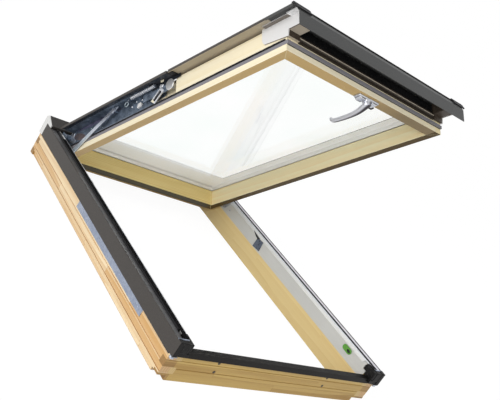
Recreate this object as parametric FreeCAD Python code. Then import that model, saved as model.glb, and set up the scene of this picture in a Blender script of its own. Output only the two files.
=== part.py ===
import FreeCAD, Part
import math
import os

os.makedirs("parts", exist_ok=True)

# A top-hung centre pivot roof window, laid flat and shown open.
# X runs across the window, +Y runs up the roof slope, +Z points out of the roof.
# Places along the slope are first given as v, the distance up from the lower end of the corner caps.
# The sash, the arms and the struts are drawn shut and then swung open about the hinge pin.
# On them s is the distance down the slope from shut_v, and n the height above shut_height,
# both as if the window were shut.

# Overall sizes of the frame
cap_to_cap_width = 780.0
frame_length = 1092.0
stile_thick = 43.3
stile_height = 100.0
cladding_thick = 2.0
cladding_stand_off = 1.7

# Pine frame
pine_bottom = 14.0
pine_top_inset = 6.0
sill_thick = 20.0
sill_height = 86.0
sill_leg_depth = 9.0
sill_leg_height = 20.0
head_thick = 20.0
finger_count = 5
inner_step_height = 71.0
inner_step_depth = 3.0
low_strip_height = 14.0
low_strip_depth = 5.0
low_strip_start = 46.0
low_strip_left_inset = 27.0
low_strip_right_inset = 49.0
side_groove_heights = (25.0, 46.0)
sill_groove_heights = (36.0, 60.0)
groove_width = 2.4
groove_depth = 2.0

# Light metal profile on the inner faces of the stiles
profile_face_top = 112.0
profile_lip_top = 118.0
profile_lip_out = 9.0
profile_lip_thick = 3.5
profile_sheet = 3.0

# Metal and rubber on top of the stiles
side_cladding_low = 75.0
ridge_top = 119.5
ridge_return = 3.0
ridge_sheet_width = 23.5
ridge_sheet_low = 114.5
ridge_sheet_high = 118.0
gasket_top_width = 5.5
gasket_base_height = 113.0
gasket_start = 60.0
gasket_end_gap = 2.0
strip_low = 53.0
strip_thick = 1.5
strip_start = 175.0
strip_end = 670.0

# Sill cladding and corner caps
sill_front = 10.0
sill_front_low = 74.0
sill_front_top = 91.0
sill_back = 27.0
sill_back_top = 92.0
cap_length = 18.0
cap_low = 78.0
cap_top = 121.0
cap_width = 14.0
cap_inner_width = 36.0
cap_inner_front = 2.0
cap_inner_low = 90.0
cap_tail_end = 46.0
cap_tail_inner = 46.0
cap_tail_outer = 24.0
cap_tail_edge = 107.0
cap_tail_top = 118.5

# Hood over the head
hood_depth = 56.0
hood_front_low = 120.0
hood_front_top = 127.0
hood_back_top = 143.0
hood_thick = 2.0
hood_end_thick = 3.0
hood_bevel = 12.0
hood_bevel_drop = 8.0
hood_skirt = 12.0

# Fittings on the inner face of the stiles
hinge_plate_up = 22.0
hinge_plate_down = 13.5
hinge_plate_below = 39.0
hinge_plate_above = 7.0
hinge_plate_thick = 3.0
bracket_length = 41.0
bracket_gap = 1.0
bracket_thick = 1.5
bracket_hole_r = 3.0
cover_plate_length = 284.0
cover_plate_gap = 9.8
cover_plate_low = 81.0
cover_plate_bevel = 22.0
cover_plate_thick = 1.0
plug_v = 131.0
plug_z = 97.0
plug_r = 12.0
plug_half_length = 11.0
plug_thick = 2.0

# Shut position, opening and centre pivot
top_gap = 32.0
shut_height = 124.0
pin_s = 20.7
pin_n = -9.0
open_angle = 47.0
hinge_pin_r = 6.0
running_gap = 0.3
pivot_n = -4.0
pivot_pin_r = 8.0

# Arms
side_gap = 10.0
arm_depth = 16.0
arm_sheet = 2.0
arm_low_n = -45.0
arm_top_n = 9.0
arm_start_s = 4.0
arm_start_top_n = 1.0
arm_slant_end_s = 34.0
arm_flange_width = 32.0
arm_end_r = 36.0
arm_end_gap = 12.0
tongue_half = 14.0
tongue_reach = 84.0
tongue_overlap = 40.0
disc_reach = 71.0
disc_n = -12.0
disc_r = 17.0
disc_thick = 3.5
lever_plate_width = 15.0
lever_plate_thick = 2.5
lever_plate_low = (-26.0, -37.0)
lever_plate_high = (20.0, -3.0)
lever_slot_width = 5.0

# Struts
strut_head_s = 285.0
strut_head_n = -2.5
strut_length = 245.0
strut_width = 14.0
strut_sheet = 3.0
strut_gap = 6.5
strut_open_angle = 18.7
strut_pin_r = 4.0
shoe_clearance = 2.0

# Sash timber
sash_side_width = 28.0
sash_top_s = -23.0
sash_top_rail = 38.0
sash_bottom_rail = 32.0
sash_bottom_gap = 13.0
sash_room_n = -78.0
sash_shoulder_n = -49.0
sash_outer_n = 2.0
sash_head_low_n = -9.0
sash_head_step_s = 3.0
rebate_reach = 93.0

# Glass
pane_thick = 4.0
pane_gap = 16.0
glass_room_n = -22.0
glass_cover = 6.0
spacer_width = 7.0

# Sash cladding
cladding_n = 11.0
cladding_edge_gap = 21.5
cladding_lip = 8.0
arm_cladding_start_s = 35.0
arm_cladding_reach = 90.0
sash_cladding_reach = 98.0
glazing_cover = 15.0
flap_top_reach = 54.0
flap_front_reach = 65.0
flap_knee_n = -11.5
flap_low_n = -47.0
flap_inner_reach = 37.0
flap_end_inset = 9.5

# Plastic parts on the lower corners of the sash
cover_thick = 3.5
cover_length = 79.0
cover_low_n = -44.0
cover_nose_n = -26.0
cover_flange = 12.0
cover_flange_thick = 3.0
end_block_width = 39.0
end_block_low_n = -42.0
end_block_nose_n = -25.0
end_block_step = 8.0
end_block_wall = 3.0
bumper_width = 55.0
bumper_height = 4.0

# Ribbed profile under the flap
rib_low_n = -44.0
rib_reach = 5.5
rib_waist = 2.5
rib_pitch = 11.0
rib_height = 4.0
rib_web = 1.5

# Seal round the sash
seal_low_n = -60.5
seal_high_n = -51.0
seal_side_depth = 1.5
seal_side_proud = 0.5
seal_front = 5.0

# Handle
handle_up = 19.0
handle_base_half = 43.0
handle_base_width = 24.0
handle_base_thick = 6.0
handle_hub_r = 11.0
handle_hub_height = 7.0
lever_length = 121.0
lever_root_width = 17.0
lever_tip_width = 12.0
lever_thick = 6.0
lever_hook = 3.0

# Values worked out from the sizes above
half_width = cap_to_cap_width / 2
pine_half = half_width - cladding_thick - cladding_stand_off
frame_inner_half = pine_half - stile_thick
pine_top = frame_length - pine_top_inset
sill_inner = pine_bottom + sill_thick
cladding_top_end = pine_top - head_thick
hood_front = frame_length - hood_depth
lip_start = frame_inner_half + profile_lip_out + 0.5
lip_end = lip_start + profile_lip_thick
shut_v = cladding_top_end - top_gap
pin_v = shut_v - pin_s
pin_z = shut_height + pin_n
cover_plate_high_end = pin_v - hinge_plate_down - cover_plate_gap
cover_plate_low_end = cover_plate_high_end - cover_plate_length
bracket_high_end = cover_plate_low_end - bracket_gap
bracket_low_end = bracket_high_end - bracket_length
sash_half = frame_inner_half - side_gap
arm_edge_x = sash_half + 1.0
arm_web_x = arm_edge_x - arm_depth
arm_web_out = arm_web_x + arm_sheet
sash_rebate_half = arm_web_x - 3.0
sash_inner_half = sash_half - sash_side_width
sash_bottom_s = shut_v - sill_inner - sash_bottom_gap
pivot_s = (sash_top_s + sash_bottom_s) / 2
arm_channel_end_s = pivot_s - arm_end_gap
rebate_end_s = pivot_s + rebate_reach
tongue_end_s = pivot_s + tongue_reach
disc_s = pivot_s + disc_reach
strut_x = frame_inner_half - strut_gap
cladding_edge_x = half_width - cladding_edge_gap
arm_cladding_end_s = pivot_s + arm_cladding_reach
arm_cladding_narrow_in = arm_edge_x + arm_sheet + 0.5
sash_cladding_start_s = pivot_s + sash_cladding_reach
glazing_edge_x = sash_inner_half - glazing_cover
glazing_out_x = sash_rebate_half + 1.0
flap_s = sash_bottom_s + flap_top_reach
flap_front_s = sash_bottom_s + flap_front_reach
flap_inner_s = sash_bottom_s - flap_inner_reach
flap_half = cladding_edge_x - flap_end_inset
end_block_in = sash_half - end_block_width
handle_s = sash_bottom_s - handle_up


def at(v):
    """Place along Y of a distance v up from the lower end."""
    return v - frame_length / 2


def bar(x0, x1, v0, v1, z0, z1):
    """Box between two corners of the frame."""
    return Part.makeBox(x1 - x0, v1 - v0, z1 - z0, FreeCAD.Vector(x0, at(v0), z0))


def shut_y(s):
    """Place along Y of a point on a moving piece, drawn shut."""
    return at(shut_v - s)


def moving_bar(x0, x1, s0, s1, n0, n1):
    """Box on a moving piece, drawn shut."""
    corner = FreeCAD.Vector(x0, shut_y(s1), shut_height + n0)
    return Part.makeBox(x1 - x0, s1 - s0, n1 - n0, corner)


def face_of(points):
    """Flat face inside a closed outline."""
    corners = [FreeCAD.Vector(*p) for p in points]
    return Part.Face(Part.makePolygon(corners + corners[:1]))


def along_slope(section, v0, v1):
    """A section given as (x, z) points, run up the slope from v0 to v1."""
    face = face_of([(x, at(v0), z) for x, z in section])
    return face.extrude(FreeCAD.Vector(0, v1 - v0, 0))


def along_width(section, x0, x1):
    """A section given as (v, z) points, run across the window from x0 to x1."""
    face = face_of([(x0, at(v), z) for v, z in section])
    return face.extrude(FreeCAD.Vector(x1 - x0, 0, 0))


def moving_along_slope(section, s0, s1):
    """A section given as (x, n) points on a moving piece, run from s0 to s1, drawn shut."""
    face = face_of([(x, shut_y(s1), shut_height + n) for x, n in section])
    return face.extrude(FreeCAD.Vector(0, s1 - s0, 0))


def moving_along_width(section, x0, x1):
    """A section given as (s, n) points on a moving piece, run from x0 to x1, drawn shut."""
    face = face_of([(x0, shut_y(s), shut_height + n) for s, n in section])
    return face.extrude(FreeCAD.Vector(x1 - x0, 0, 0))


def frame_pin(radius, x0, x1, v, z):
    """Round pin across the window at a place on the frame."""
    start = FreeCAD.Vector(x0, at(v), z)
    return Part.makeCylinder(radius, x1 - x0, start, FreeCAD.Vector(1, 0, 0))


def cross_pin(radius, x0, x1, s, n):
    """Round pin across the window at a place on a moving piece, drawn shut."""
    return frame_pin(radius, x0, x1, shut_v - s, shut_height + n)


def joined(shapes):
    """One solid from pieces that share faces or overlap."""
    return shapes[0].fuse(shapes[1:]).removeSplitter()


def mirrored(shape):
    """The same piece on the left side."""
    return shape.mirror(FreeCAD.Vector(0, 0, 0), FreeCAD.Vector(1, 0, 0))


def swung(shape):
    """A piece that was drawn shut, at its place in the open window."""
    turned = shape.copy()
    turned.rotate(FreeCAD.Vector(0, at(pin_v), pin_z), FreeCAD.Vector(1, 0, 0), -open_angle)
    return turned


def save(name, shape):
    """Write one piece."""
    shape.exportStep("parts/" + name + ".step")


def save_pair(name, shape):
    """Write a piece of the right side and its mirror image."""
    save("right_" + name, shape)
    save("left_" + name, mirrored(shape))


# Pine frame


def finger_blocks(v0, v1, height):
    """Every other layer of a corner joint, for a rail of the given height."""
    layer = stile_height / finger_count
    blocks = []
    for i in range(0, finger_count, 2):
        top = min((i + 1) * layer, height)
        blocks.append(bar(frame_inner_half, pine_half, v0, v1, i * layer, top))
    return blocks


def corner_relief(inset):
    """Block that is missing under a lower corner, where the lowest strips stop short."""
    return bar(pine_half - inset, half_width, 0, low_strip_start, -1.0, low_strip_height)


def stile(inset):
    """Right stile with its step for the metal profile, side grooves and end fingers."""
    step_x = frame_inner_half + inner_step_depth
    section = [
        (frame_inner_half, 0),
        (pine_half - low_strip_depth, 0),
        (pine_half - low_strip_depth, low_strip_height),
        (pine_half, low_strip_height),
        (pine_half, stile_height),
        (step_x, stile_height),
        (step_x, inner_step_height),
        (frame_inner_half, inner_step_height),
    ]
    cuts = [corner_relief(inset)]
    for z in side_groove_heights:
        low = z - groove_width / 2
        cuts.append(bar(pine_half - groove_depth, pine_half, pine_bottom, pine_top, low, low + groove_width))
    cuts += finger_blocks(pine_bottom, sill_inner, stile_height)
    cuts += finger_blocks(pine_top - head_thick, pine_top, stile_height)
    return along_slope(section, pine_bottom, pine_top).cut(cuts)


def sill_rail():
    """Bottom rail with a low leg under the sash, two face grooves and fingers at both ends."""
    section = [
        (pine_bottom, 0),
        (pine_bottom, sill_height),
        (sill_inner, sill_height),
        (sill_inner, sill_leg_height),
        (sill_inner + sill_leg_depth, sill_leg_height),
        (sill_inner + sill_leg_depth, 0),
    ]
    body = along_width(section, -frame_inner_half, frame_inner_half)
    fingers = finger_blocks(pine_bottom, sill_inner, sill_height)
    body = joined([body] + fingers + [mirrored(f) for f in fingers])
    cuts = [corner_relief(low_strip_right_inset), mirrored(corner_relief(low_strip_left_inset))]
    for z in sill_groove_heights:
        low = z - groove_width / 2
        cuts.append(bar(-pine_half, pine_half, pine_bottom, pine_bottom + groove_depth, low, low + groove_width))
    return body.cut(cuts)


def head_rail():
    """Top rail with fingers at both ends."""
    body = bar(-frame_inner_half, frame_inner_half, pine_top - head_thick, pine_top, 0, stile_height)
    fingers = finger_blocks(pine_top - head_thick, pine_top, stile_height)
    return joined([body] + fingers + [mirrored(f) for f in fingers])


# Metal and rubber on the frame


def inner_profile():
    """Light metal profile on the inner face of the right stile, with a raised lip."""
    x0 = frame_inner_half
    section = [
        (x0, inner_step_height),
        (x0 + profile_sheet, inner_step_height),
        (x0 + profile_sheet, profile_face_top - 2.0),
        (lip_start, profile_lip_top - 3.0),
        (lip_start, stile_height),
        (lip_end, stile_height),
        (lip_end, profile_lip_top),
        (lip_start - 0.5, profile_lip_top),
        (x0, profile_face_top),
    ]
    body = along_slope(section, sill_inner, pine_top - head_thick)
    return body.cut(bar(x0 - 1.0, lip_end + 1.0, sill_inner, cap_tail_end, stile_height, ridge_top))


def groove_gasket():
    """Black rubber strip beside the lip."""
    x0 = lip_end + 0.5
    x1 = half_width - ridge_sheet_width - 0.5
    section = [
        (x0, stile_height),
        (x1, stile_height),
        (x1, gasket_base_height),
        (x0 + gasket_top_width, ridge_top),
        (x0, ridge_top),
    ]
    return along_slope(section, gasket_start, hood_front - gasket_end_gap)


def side_cladding():
    """Dark sheet over the outer face of the right stile, rounded over at the ridge."""
    x1 = half_width
    x0 = x1 - cladding_thick
    section = [
        (pine_half, side_cladding_low),
        (x1, side_cladding_low),
        (x1, ridge_top - 1.0),
        (x1 - 1.0, ridge_top),
        (x1 - ridge_return, ridge_top),
        (x1 - ridge_return, ridge_sheet_high),
        (x0, ridge_sheet_high),
        (x0, side_cladding_low + cladding_thick),
        (pine_half, side_cladding_low + cladding_thick),
    ]
    return along_slope(section, cap_length, cladding_top_end)


def ridge_sheet():
    """Grey sheet that slopes from the ridge of the right cladding in to the rubber strip."""
    x1 = half_width - cladding_thick
    x0 = half_width - ridge_sheet_width
    section = [
        (x0, stile_height),
        (x0 + cladding_thick, stile_height),
        (x0 + cladding_thick, ridge_sheet_low - 1.6),
        (x1, ridge_sheet_high - cladding_thick),
        (x1, ridge_sheet_high),
        (x0, ridge_sheet_low),
    ]
    return along_slope(section, cap_length, cladding_top_end)


def fixing_strip():
    """Zinc-coated strip between the pine and the cladding."""
    return bar(pine_half, pine_half + strip_thick, strip_start, strip_end, strip_low, side_cladding_low)


def sill_cladding():
    """Folded dark sheet over the bottom rail."""
    t = cladding_thick
    section = [
        (pine_bottom, sill_front_low),
        (sill_front, sill_front_low),
        (sill_front, sill_front_top),
        (sill_back, sill_back_top),
        (sill_back, sill_height),
        (sill_back - t, sill_height),
        (sill_back - t, sill_back_top - t),
        (sill_front + t, sill_front_top - t),
        (sill_front + t, sill_front_low + t),
        (pine_bottom, sill_front_low + t),
    ]
    reach = half_width - cap_inner_width - 0.5
    return along_width(section, -reach, reach)


def corner_cap():
    """Black plastic cap on the lower end of the right stile, with a tail beside the profile."""
    x1 = half_width
    x0 = x1 - cap_inner_width
    outer = bar(x1 - cap_width, x1, 0, cap_length, cap_low, cap_top)
    outer = outer.makeFillet(1.5, outer.Edges)
    inner_section = [
        (x0, cap_inner_low + 3.0),
        (x0 + 3.0, cap_inner_low),
        (x1 - cap_width + 2.0, cap_inner_low),
        (x1 - cap_width + 2.0, cap_tail_top),
        (x0 + 6.0, cap_tail_top),
        (x0, cap_tail_top - 6.0),
    ]
    inner = along_slope(inner_section, cap_inner_front, cap_length)
    tail_section = [
        (x1 - cap_tail_inner, stile_height),
        (x1 - cap_tail_inner, cap_tail_edge),
        (x1 - cap_tail_outer - 10.0, cap_tail_top),
        (x1 - cap_tail_outer, cap_tail_top),
        (x1 - cap_tail_outer, stile_height),
    ]
    tail = along_slope(tail_section, pine_bottom, cap_tail_end)
    pine = bar(0, pine_half, pine_bottom, cap_length + 1.0, 0, stile_height)
    ledge = bar(0, x1, pine_bottom - 2.0, pine_bottom, cap_low - 2.0, sill_front_low + 6.0)
    return joined([outer, inner, tail]).cut([pine, ledge])


def head_cover():
    """Dark hood over the head of the frame."""
    t = hood_thick
    back = frame_length
    low_back = stile_height - hood_skirt
    section = [
        (hood_front, hood_front_low),
        (hood_front, hood_front_top),
        (back - hood_bevel, hood_back_top),
        (back, hood_back_top - hood_bevel_drop),
        (back, low_back),
        (pine_top, low_back),
        (pine_top, stile_height),
        (pine_top - head_thick, stile_height),
        (pine_top - head_thick, stile_height + t),
        (back - t, stile_height + t),
        (back - t, hood_back_top - hood_bevel_drop - t),
        (back - hood_bevel - t, hood_back_top - t),
        (hood_front + t, hood_front_top - t),
        (hood_front + t, hood_front_low),
    ]
    reach = half_width - hood_end_thick
    return along_width(section, -reach, reach)


def head_end_plate():
    """Light end plate that closes the right end of the hood."""
    x1 = half_width
    back = frame_length
    section = [
        (hood_front, hood_front_low),
        (hood_front, hood_front_top),
        (back - hood_bevel, hood_back_top),
        (back, hood_back_top - hood_bevel_drop),
        (back, side_cladding_low),
        (cladding_top_end, side_cladding_low),
        (cladding_top_end, hood_front_low),
    ]
    return along_width(section, x1 - hood_end_thick, x1)


def hinge_bracket():
    """Plate on the right stile with the pin that the arm turns on."""
    x1 = frame_inner_half
    plate = bar(
        x1 - hinge_plate_thick,
        x1,
        pin_v - hinge_plate_down,
        pin_v + hinge_plate_up,
        pin_z - hinge_plate_below,
        pin_z + hinge_plate_above,
    )
    pin = frame_pin(hinge_pin_r, sash_rebate_half + 1.0, x1 - 1.0, pin_v, pin_z)
    return joined([plate, pin])


def guide_bracket():
    """Slanted steel bracket plate with a hole, on the metal profile."""
    x1 = frame_inner_half
    section = [
        (bracket_low_end, inner_step_height + 6.0),
        (bracket_high_end, inner_step_height + 2.0),
        (bracket_high_end - 1.0, profile_face_top - 4.0),
        (bracket_low_end + 5.0, profile_face_top),
    ]
    plate = along_width(section, x1 - bracket_thick, x1)
    middle = (bracket_low_end + bracket_high_end) / 2
    return plate.cut(frame_pin(bracket_hole_r, x1 - 2.0, x1 + 1.0, middle, profile_face_top - 19.0))


def cover_plate():
    """Thin cover plate on the metal profile from the bracket up to the hinge."""
    x1 = frame_inner_half
    low = cover_plate_low_end
    high = cover_plate_high_end
    section = [
        (low, cover_plate_low),
        (high, cover_plate_low),
        (high, profile_face_top),
        (low + cover_plate_bevel, profile_face_top),
        (low, profile_face_top - cover_plate_bevel / 2),
    ]
    return along_width(section, x1 - cover_plate_thick, x1)


def lock_plug():
    """Oval plastic plug near the lower end of the right metal profile."""
    x1 = frame_inner_half
    x0 = x1 - plug_thick
    low = plug_v - plug_half_length
    high = plug_v + plug_half_length
    middle = bar(x0, x1, low, high, plug_z - plug_r, plug_z + plug_r)
    ends = [frame_pin(plug_r, x0, x1, v, plug_z) for v in (low, high)]
    return joined([middle] + ends)


# Arms and struts


def hinge_arm():
    """Right steel arm: a channel open outwards with a round pivot end and a tongue."""
    edge = arm_edge_x
    tongue_out = edge + arm_sheet
    lap_s = arm_channel_end_s - tongue_overlap
    outline = [
        (arm_start_s, arm_low_n),
        (arm_channel_end_s, arm_low_n),
        (arm_channel_end_s, arm_top_n),
        (arm_slant_end_s, arm_top_n),
        (arm_start_s, arm_start_top_n),
    ]
    web = moving_along_width(outline, arm_web_x, arm_web_out)
    end_limits = moving_bar(
        arm_web_x,
        arm_web_out,
        arm_channel_end_s - arm_end_r,
        pivot_s + arm_end_r + 1.0,
        arm_low_n,
        arm_top_n,
    )
    round_end = cross_pin(arm_end_r, arm_web_x, arm_web_out, pivot_s, pivot_n).common(end_limits)
    top = moving_bar(
        arm_web_out,
        arm_web_x + arm_flange_width,
        arm_slant_end_s,
        arm_channel_end_s,
        arm_top_n - arm_sheet,
        arm_top_n,
    )
    low = moving_bar(arm_web_out, edge, arm_start_s, arm_channel_end_s, arm_low_n, arm_low_n + arm_sheet)
    tongue = moving_bar(edge, tongue_out, lap_s, tongue_end_s, disc_n - tongue_half, disc_n + tongue_half)
    stay = moving_bar(edge, tongue_out, lap_s, arm_channel_end_s, disc_n, arm_top_n)
    pivot_pin = cross_pin(pivot_pin_r, sash_rebate_half - 3.5, tongue_out, pivot_s, pivot_n)
    strut_pin = cross_pin(strut_pin_r, arm_web_out, strut_x + strut_sheet, strut_head_s, strut_head_n)
    boss = cross_pin(hinge_pin_r + 4.0, arm_web_out, edge, pin_s, pin_n)
    body = joined([web, round_end, top, low, tongue, stay, pivot_pin, strut_pin, boss])
    return body.cut(cross_pin(hinge_pin_r + running_gap, arm_web_x - 1.0, edge + 1.0, pin_s, pin_n))


def arm_cladding():
    """Dark sheet carried on the right arm over the upper half of the window."""
    t = cladding_thick
    section = [
        (arm_web_out, cladding_n - t),
        (arm_web_out, cladding_n),
        (cladding_edge_x, cladding_n),
        (cladding_edge_x, cladding_n - cladding_lip),
        (cladding_edge_x - t, cladding_n - cladding_lip),
        (cladding_edge_x - t, cladding_n - t),
    ]
    sheet = moving_along_slope(section, arm_cladding_start_s, arm_cladding_end_s)
    notch = moving_bar(
        arm_web_out,
        arm_cladding_narrow_in,
        arm_channel_end_s,
        arm_cladding_end_s,
        cladding_n - t,
        cladding_n,
    )
    return sheet.cut(notch)


def pivot_disc():
    """Round disc at the end of the arm's tongue."""
    x0 = arm_edge_x + arm_sheet
    disc = cross_pin(disc_r, x0, x0 + disc_thick, disc_s, disc_n)
    rim = [e for e in disc.Edges if e.BoundBox.XMin > x0 + disc_thick - 0.1]
    return disc.makeFillet(1.5, rim)


def arm_lever():
    """Slotted steel plate set across the end of the right channel, over the pivot."""
    x0 = arm_edge_x + arm_sheet
    x1 = x0 + lever_plate_thick
    s0 = pivot_s + lever_plate_low[0]
    s1 = pivot_s + lever_plate_high[0]
    length = math.hypot(s1 - s0, lever_plate_high[1] - lever_plate_low[1])
    half = lever_plate_width / 2
    plate = moving_bar(x0, x1, s0, s0 + length, lever_plate_low[1] - half, lever_plate_low[1] + half)
    ends = [cross_pin(half, x0, x1, s, lever_plate_low[1]) for s in (s0, s0 + length)]
    slot = moving_bar(
        x0 - 1.0,
        x1 + 1.0,
        s0 + 4.0,
        s0 + length - 6.0,
        lever_plate_low[1] - lever_slot_width / 2,
        lever_plate_low[1] + lever_slot_width / 2,
    )
    body = joined([plate] + ends).cut(slot)
    corner = FreeCAD.Vector(0, shut_y(s0), shut_height + lever_plate_low[1])
    rise = math.degrees(math.atan2(lever_plate_high[1] - lever_plate_low[1], s1 - s0))
    body.rotate(corner, FreeCAD.Vector(1, 0, 0), -rise)
    return body


def strut():
    """Flat bar from the arm to the frame, drawn in line with the arm and then turned."""
    half = strut_width / 2
    x0 = strut_x
    x1 = x0 + strut_sheet
    foot_s = strut_head_s - strut_length
    bar_between = moving_bar(x0, x1, foot_s, strut_head_s, strut_head_n - half, strut_head_n + half)
    ends = [cross_pin(half, x0, x1, s, strut_head_n) for s in (foot_s, strut_head_s)]
    shoe = cross_pin(strut_pin_r, x1, frame_inner_half - shoe_clearance, foot_s, strut_head_n)
    body = joined([bar_between] + ends + [shoe])
    body = body.cut(cross_pin(strut_pin_r + running_gap, x0 - 1.0, x1 + 1.0, strut_head_s, strut_head_n))
    head = FreeCAD.Vector(0, shut_y(strut_head_s), shut_height + strut_head_n)
    body.rotate(head, FreeCAD.Vector(1, 0, 0), -strut_open_angle)
    return body


# Sash


def sash_stile():
    """Right stile of the sash: full width below, with a recess for the arm above."""
    inner = sash_inner_half
    recessed = [
        (inner, sash_room_n),
        (sash_half, sash_room_n),
        (sash_half, sash_shoulder_n),
        (sash_rebate_half, sash_shoulder_n),
        (sash_rebate_half, sash_outer_n),
        (inner, sash_outer_n),
    ]
    whole = [
        (inner, sash_room_n),
        (sash_half, sash_room_n),
        (sash_half, sash_outer_n),
        (inner, sash_outer_n),
    ]
    upper = moving_along_slope(recessed, sash_top_s, rebate_end_s)
    lower = moving_along_slope(whole, rebate_end_s, sash_bottom_s)
    body = joined([upper, lower])
    glass_room = moving_bar(
        inner - 1.0,
        inner + glass_cover,
        sash_top_s + sash_top_rail - glass_cover,
        sash_bottom_s - sash_bottom_rail + glass_cover,
        glass_room_n,
        sash_outer_n + 1.0,
    )
    head_step = moving_bar(
        inner - 1.0,
        sash_half + 1.0,
        sash_top_s - 1.0,
        sash_head_step_s,
        sash_head_low_n,
        sash_outer_n + 1.0,
    )
    seal_groove = moving_bar(
        sash_half - seal_side_depth,
        sash_half + 1.0,
        sash_top_s - 1.0,
        sash_bottom_s + 1.0,
        seal_low_n,
        seal_high_n,
    )
    pin_hole = cross_pin(pivot_pin_r + running_gap, sash_rebate_half - 4.0, sash_half + 1.0, pivot_s, pivot_n)
    return body.cut([glass_room, head_step, seal_groove, pin_hole])


def sash_top_rail_piece():
    """Top rail of the sash, lower at its upper edge to pass under the hood."""
    half = sash_inner_half
    section = [
        (sash_top_s, sash_room_n),
        (sash_top_s, sash_head_low_n),
        (sash_head_step_s, sash_head_low_n),
        (sash_head_step_s, sash_outer_n),
        (sash_top_s + sash_top_rail - glass_cover, sash_outer_n),
        (sash_top_s + sash_top_rail - glass_cover, glass_room_n),
        (sash_top_s + sash_top_rail, glass_room_n),
        (sash_top_s + sash_top_rail, sash_room_n),
    ]
    return moving_along_width(section, -half, half)


def sash_bottom_rail_piece():
    """Bottom rail of the sash with its glass rebate."""
    half = sash_inner_half
    inner_s = sash_bottom_s - sash_bottom_rail
    section = [
        (inner_s, sash_room_n),
        (inner_s, glass_room_n),
        (inner_s + glass_cover, glass_room_n),
        (inner_s + glass_cover, sash_outer_n),
        (sash_bottom_s, sash_outer_n),
        (sash_bottom_s, sash_room_n),
    ]
    return moving_along_width(section, -half, half)


def pane(n0):
    """One sheet of glass."""
    half = sash_inner_half + glass_cover
    return moving_bar(
        -half,
        half,
        sash_top_s + sash_top_rail - glass_cover,
        sash_bottom_s - sash_bottom_rail + glass_cover,
        n0,
        n0 + pane_thick,
    )


def spacer():
    """Metal spacer between the two sheets of glass."""
    half = sash_inner_half + glass_cover
    s0 = sash_top_s + sash_top_rail - glass_cover
    s1 = sash_bottom_s - sash_bottom_rail + glass_cover
    n0 = glass_room_n + pane_thick
    outer = moving_bar(-half, half, s0, s1, n0, n0 + pane_gap)
    w = spacer_width
    return outer.cut(moving_bar(-half + w, half - w, s0 + w, s1 - w, n0 - 1.0, n0 + pane_gap + 1.0))


def sash_side_cladding():
    """Dark sheet on the sash, narrow beside the arm and wide below it."""
    t = cladding_thick
    narrow = [
        (glazing_edge_x, sash_outer_n),
        (glazing_edge_x, cladding_n),
        (glazing_out_x, cladding_n),
        (glazing_out_x, cladding_n - t),
        (glazing_edge_x + t, cladding_n - t),
        (glazing_edge_x + t, sash_outer_n),
    ]
    wide = [
        (glazing_edge_x, sash_outer_n),
        (glazing_edge_x, cladding_n),
        (cladding_edge_x, cladding_n),
        (cladding_edge_x, cladding_n - cladding_lip),
        (cladding_edge_x - t, cladding_n - cladding_lip),
        (cladding_edge_x - t, cladding_n - t),
        (glazing_edge_x + t, cladding_n - t),
        (glazing_edge_x + t, sash_outer_n),
    ]
    upper = moving_along_slope(narrow, arm_cladding_start_s, sash_cladding_start_s)
    lower = moving_along_slope(wide, sash_cladding_start_s, flap_inner_s)
    return joined([upper, lower])


def sash_flap():
    """Sheet along the lower edge of the sash, folded down outside the frame."""
    t = cladding_thick
    x1 = cladding_edge_x
    top_section = [
        (flap_inner_s, cladding_n - t),
        (flap_inner_s, cladding_n),
        (flap_s, cladding_n),
        (flap_s - 1.0, cladding_n - t),
    ]
    front_section = [
        (flap_s, cladding_n),
        (flap_front_s, flap_knee_n),
        (flap_front_s, flap_low_n),
        (flap_front_s - t, flap_low_n),
        (flap_front_s - t, flap_knee_n),
        (flap_s - t, cladding_n - t),
        (flap_s - 2 * t, cladding_n),
    ]
    top = moving_along_width(top_section, -x1, x1)
    front = moving_along_width(front_section, -flap_half, flap_half)
    lip = moving_bar(x1 - t, x1, flap_inner_s, flap_s - t, cladding_n - cladding_lip, cladding_n - t)
    reach = glazing_edge_x
    fold = moving_bar(-reach, reach, flap_inner_s, flap_inner_s + t, sash_outer_n, cladding_n - t)
    return joined([top, front, lip, mirrored(lip), fold])


def sash_top_cladding():
    """Thin dark sheet over the top rail of the sash."""
    half = sash_inner_half
    top = sash_outer_n + cladding_thick
    return moving_bar(-half, half, sash_head_step_s, arm_cladding_start_s, sash_outer_n, top)


def sash_bottom_profile():
    """Ribbed metal profile on the outer face of the bottom rail."""
    s0 = sash_bottom_s
    upper_rib = rib_low_n + rib_pitch
    section = [
        (s0, rib_low_n),
        (s0 + rib_reach - 1.0, rib_low_n),
        (s0 + rib_reach - 1.0, rib_low_n + rib_height),
        (s0 + rib_waist, rib_low_n + rib_height + 2.0),
        (s0 + rib_waist, upper_rib - 2.0),
        (s0 + rib_reach, upper_rib),
        (s0 + rib_reach, upper_rib + rib_height),
        (s0 + rib_waist, upper_rib + rib_height + 2.0),
        (s0 + rib_waist, upper_rib + rib_height + 5.0),
        (s0 + rib_web, upper_rib + rib_height + 7.0),
        (s0 + rib_web, sash_outer_n),
        (s0, sash_outer_n),
    ]
    return moving_along_width(section, -end_block_in, end_block_in)


def sash_gasket():
    """Grey seal along the lower edge and both sides of the sash."""
    x1 = sash_half + seal_side_proud
    front_s = sash_bottom_s + seal_front
    front = moving_bar(-x1, x1, sash_bottom_s, front_s, seal_low_n, seal_high_n)
    side = moving_bar(sash_half - seal_side_depth, x1, sash_top_s, front_s, seal_low_n, seal_high_n)
    return joined([front, side, mirrored(side)])


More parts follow.
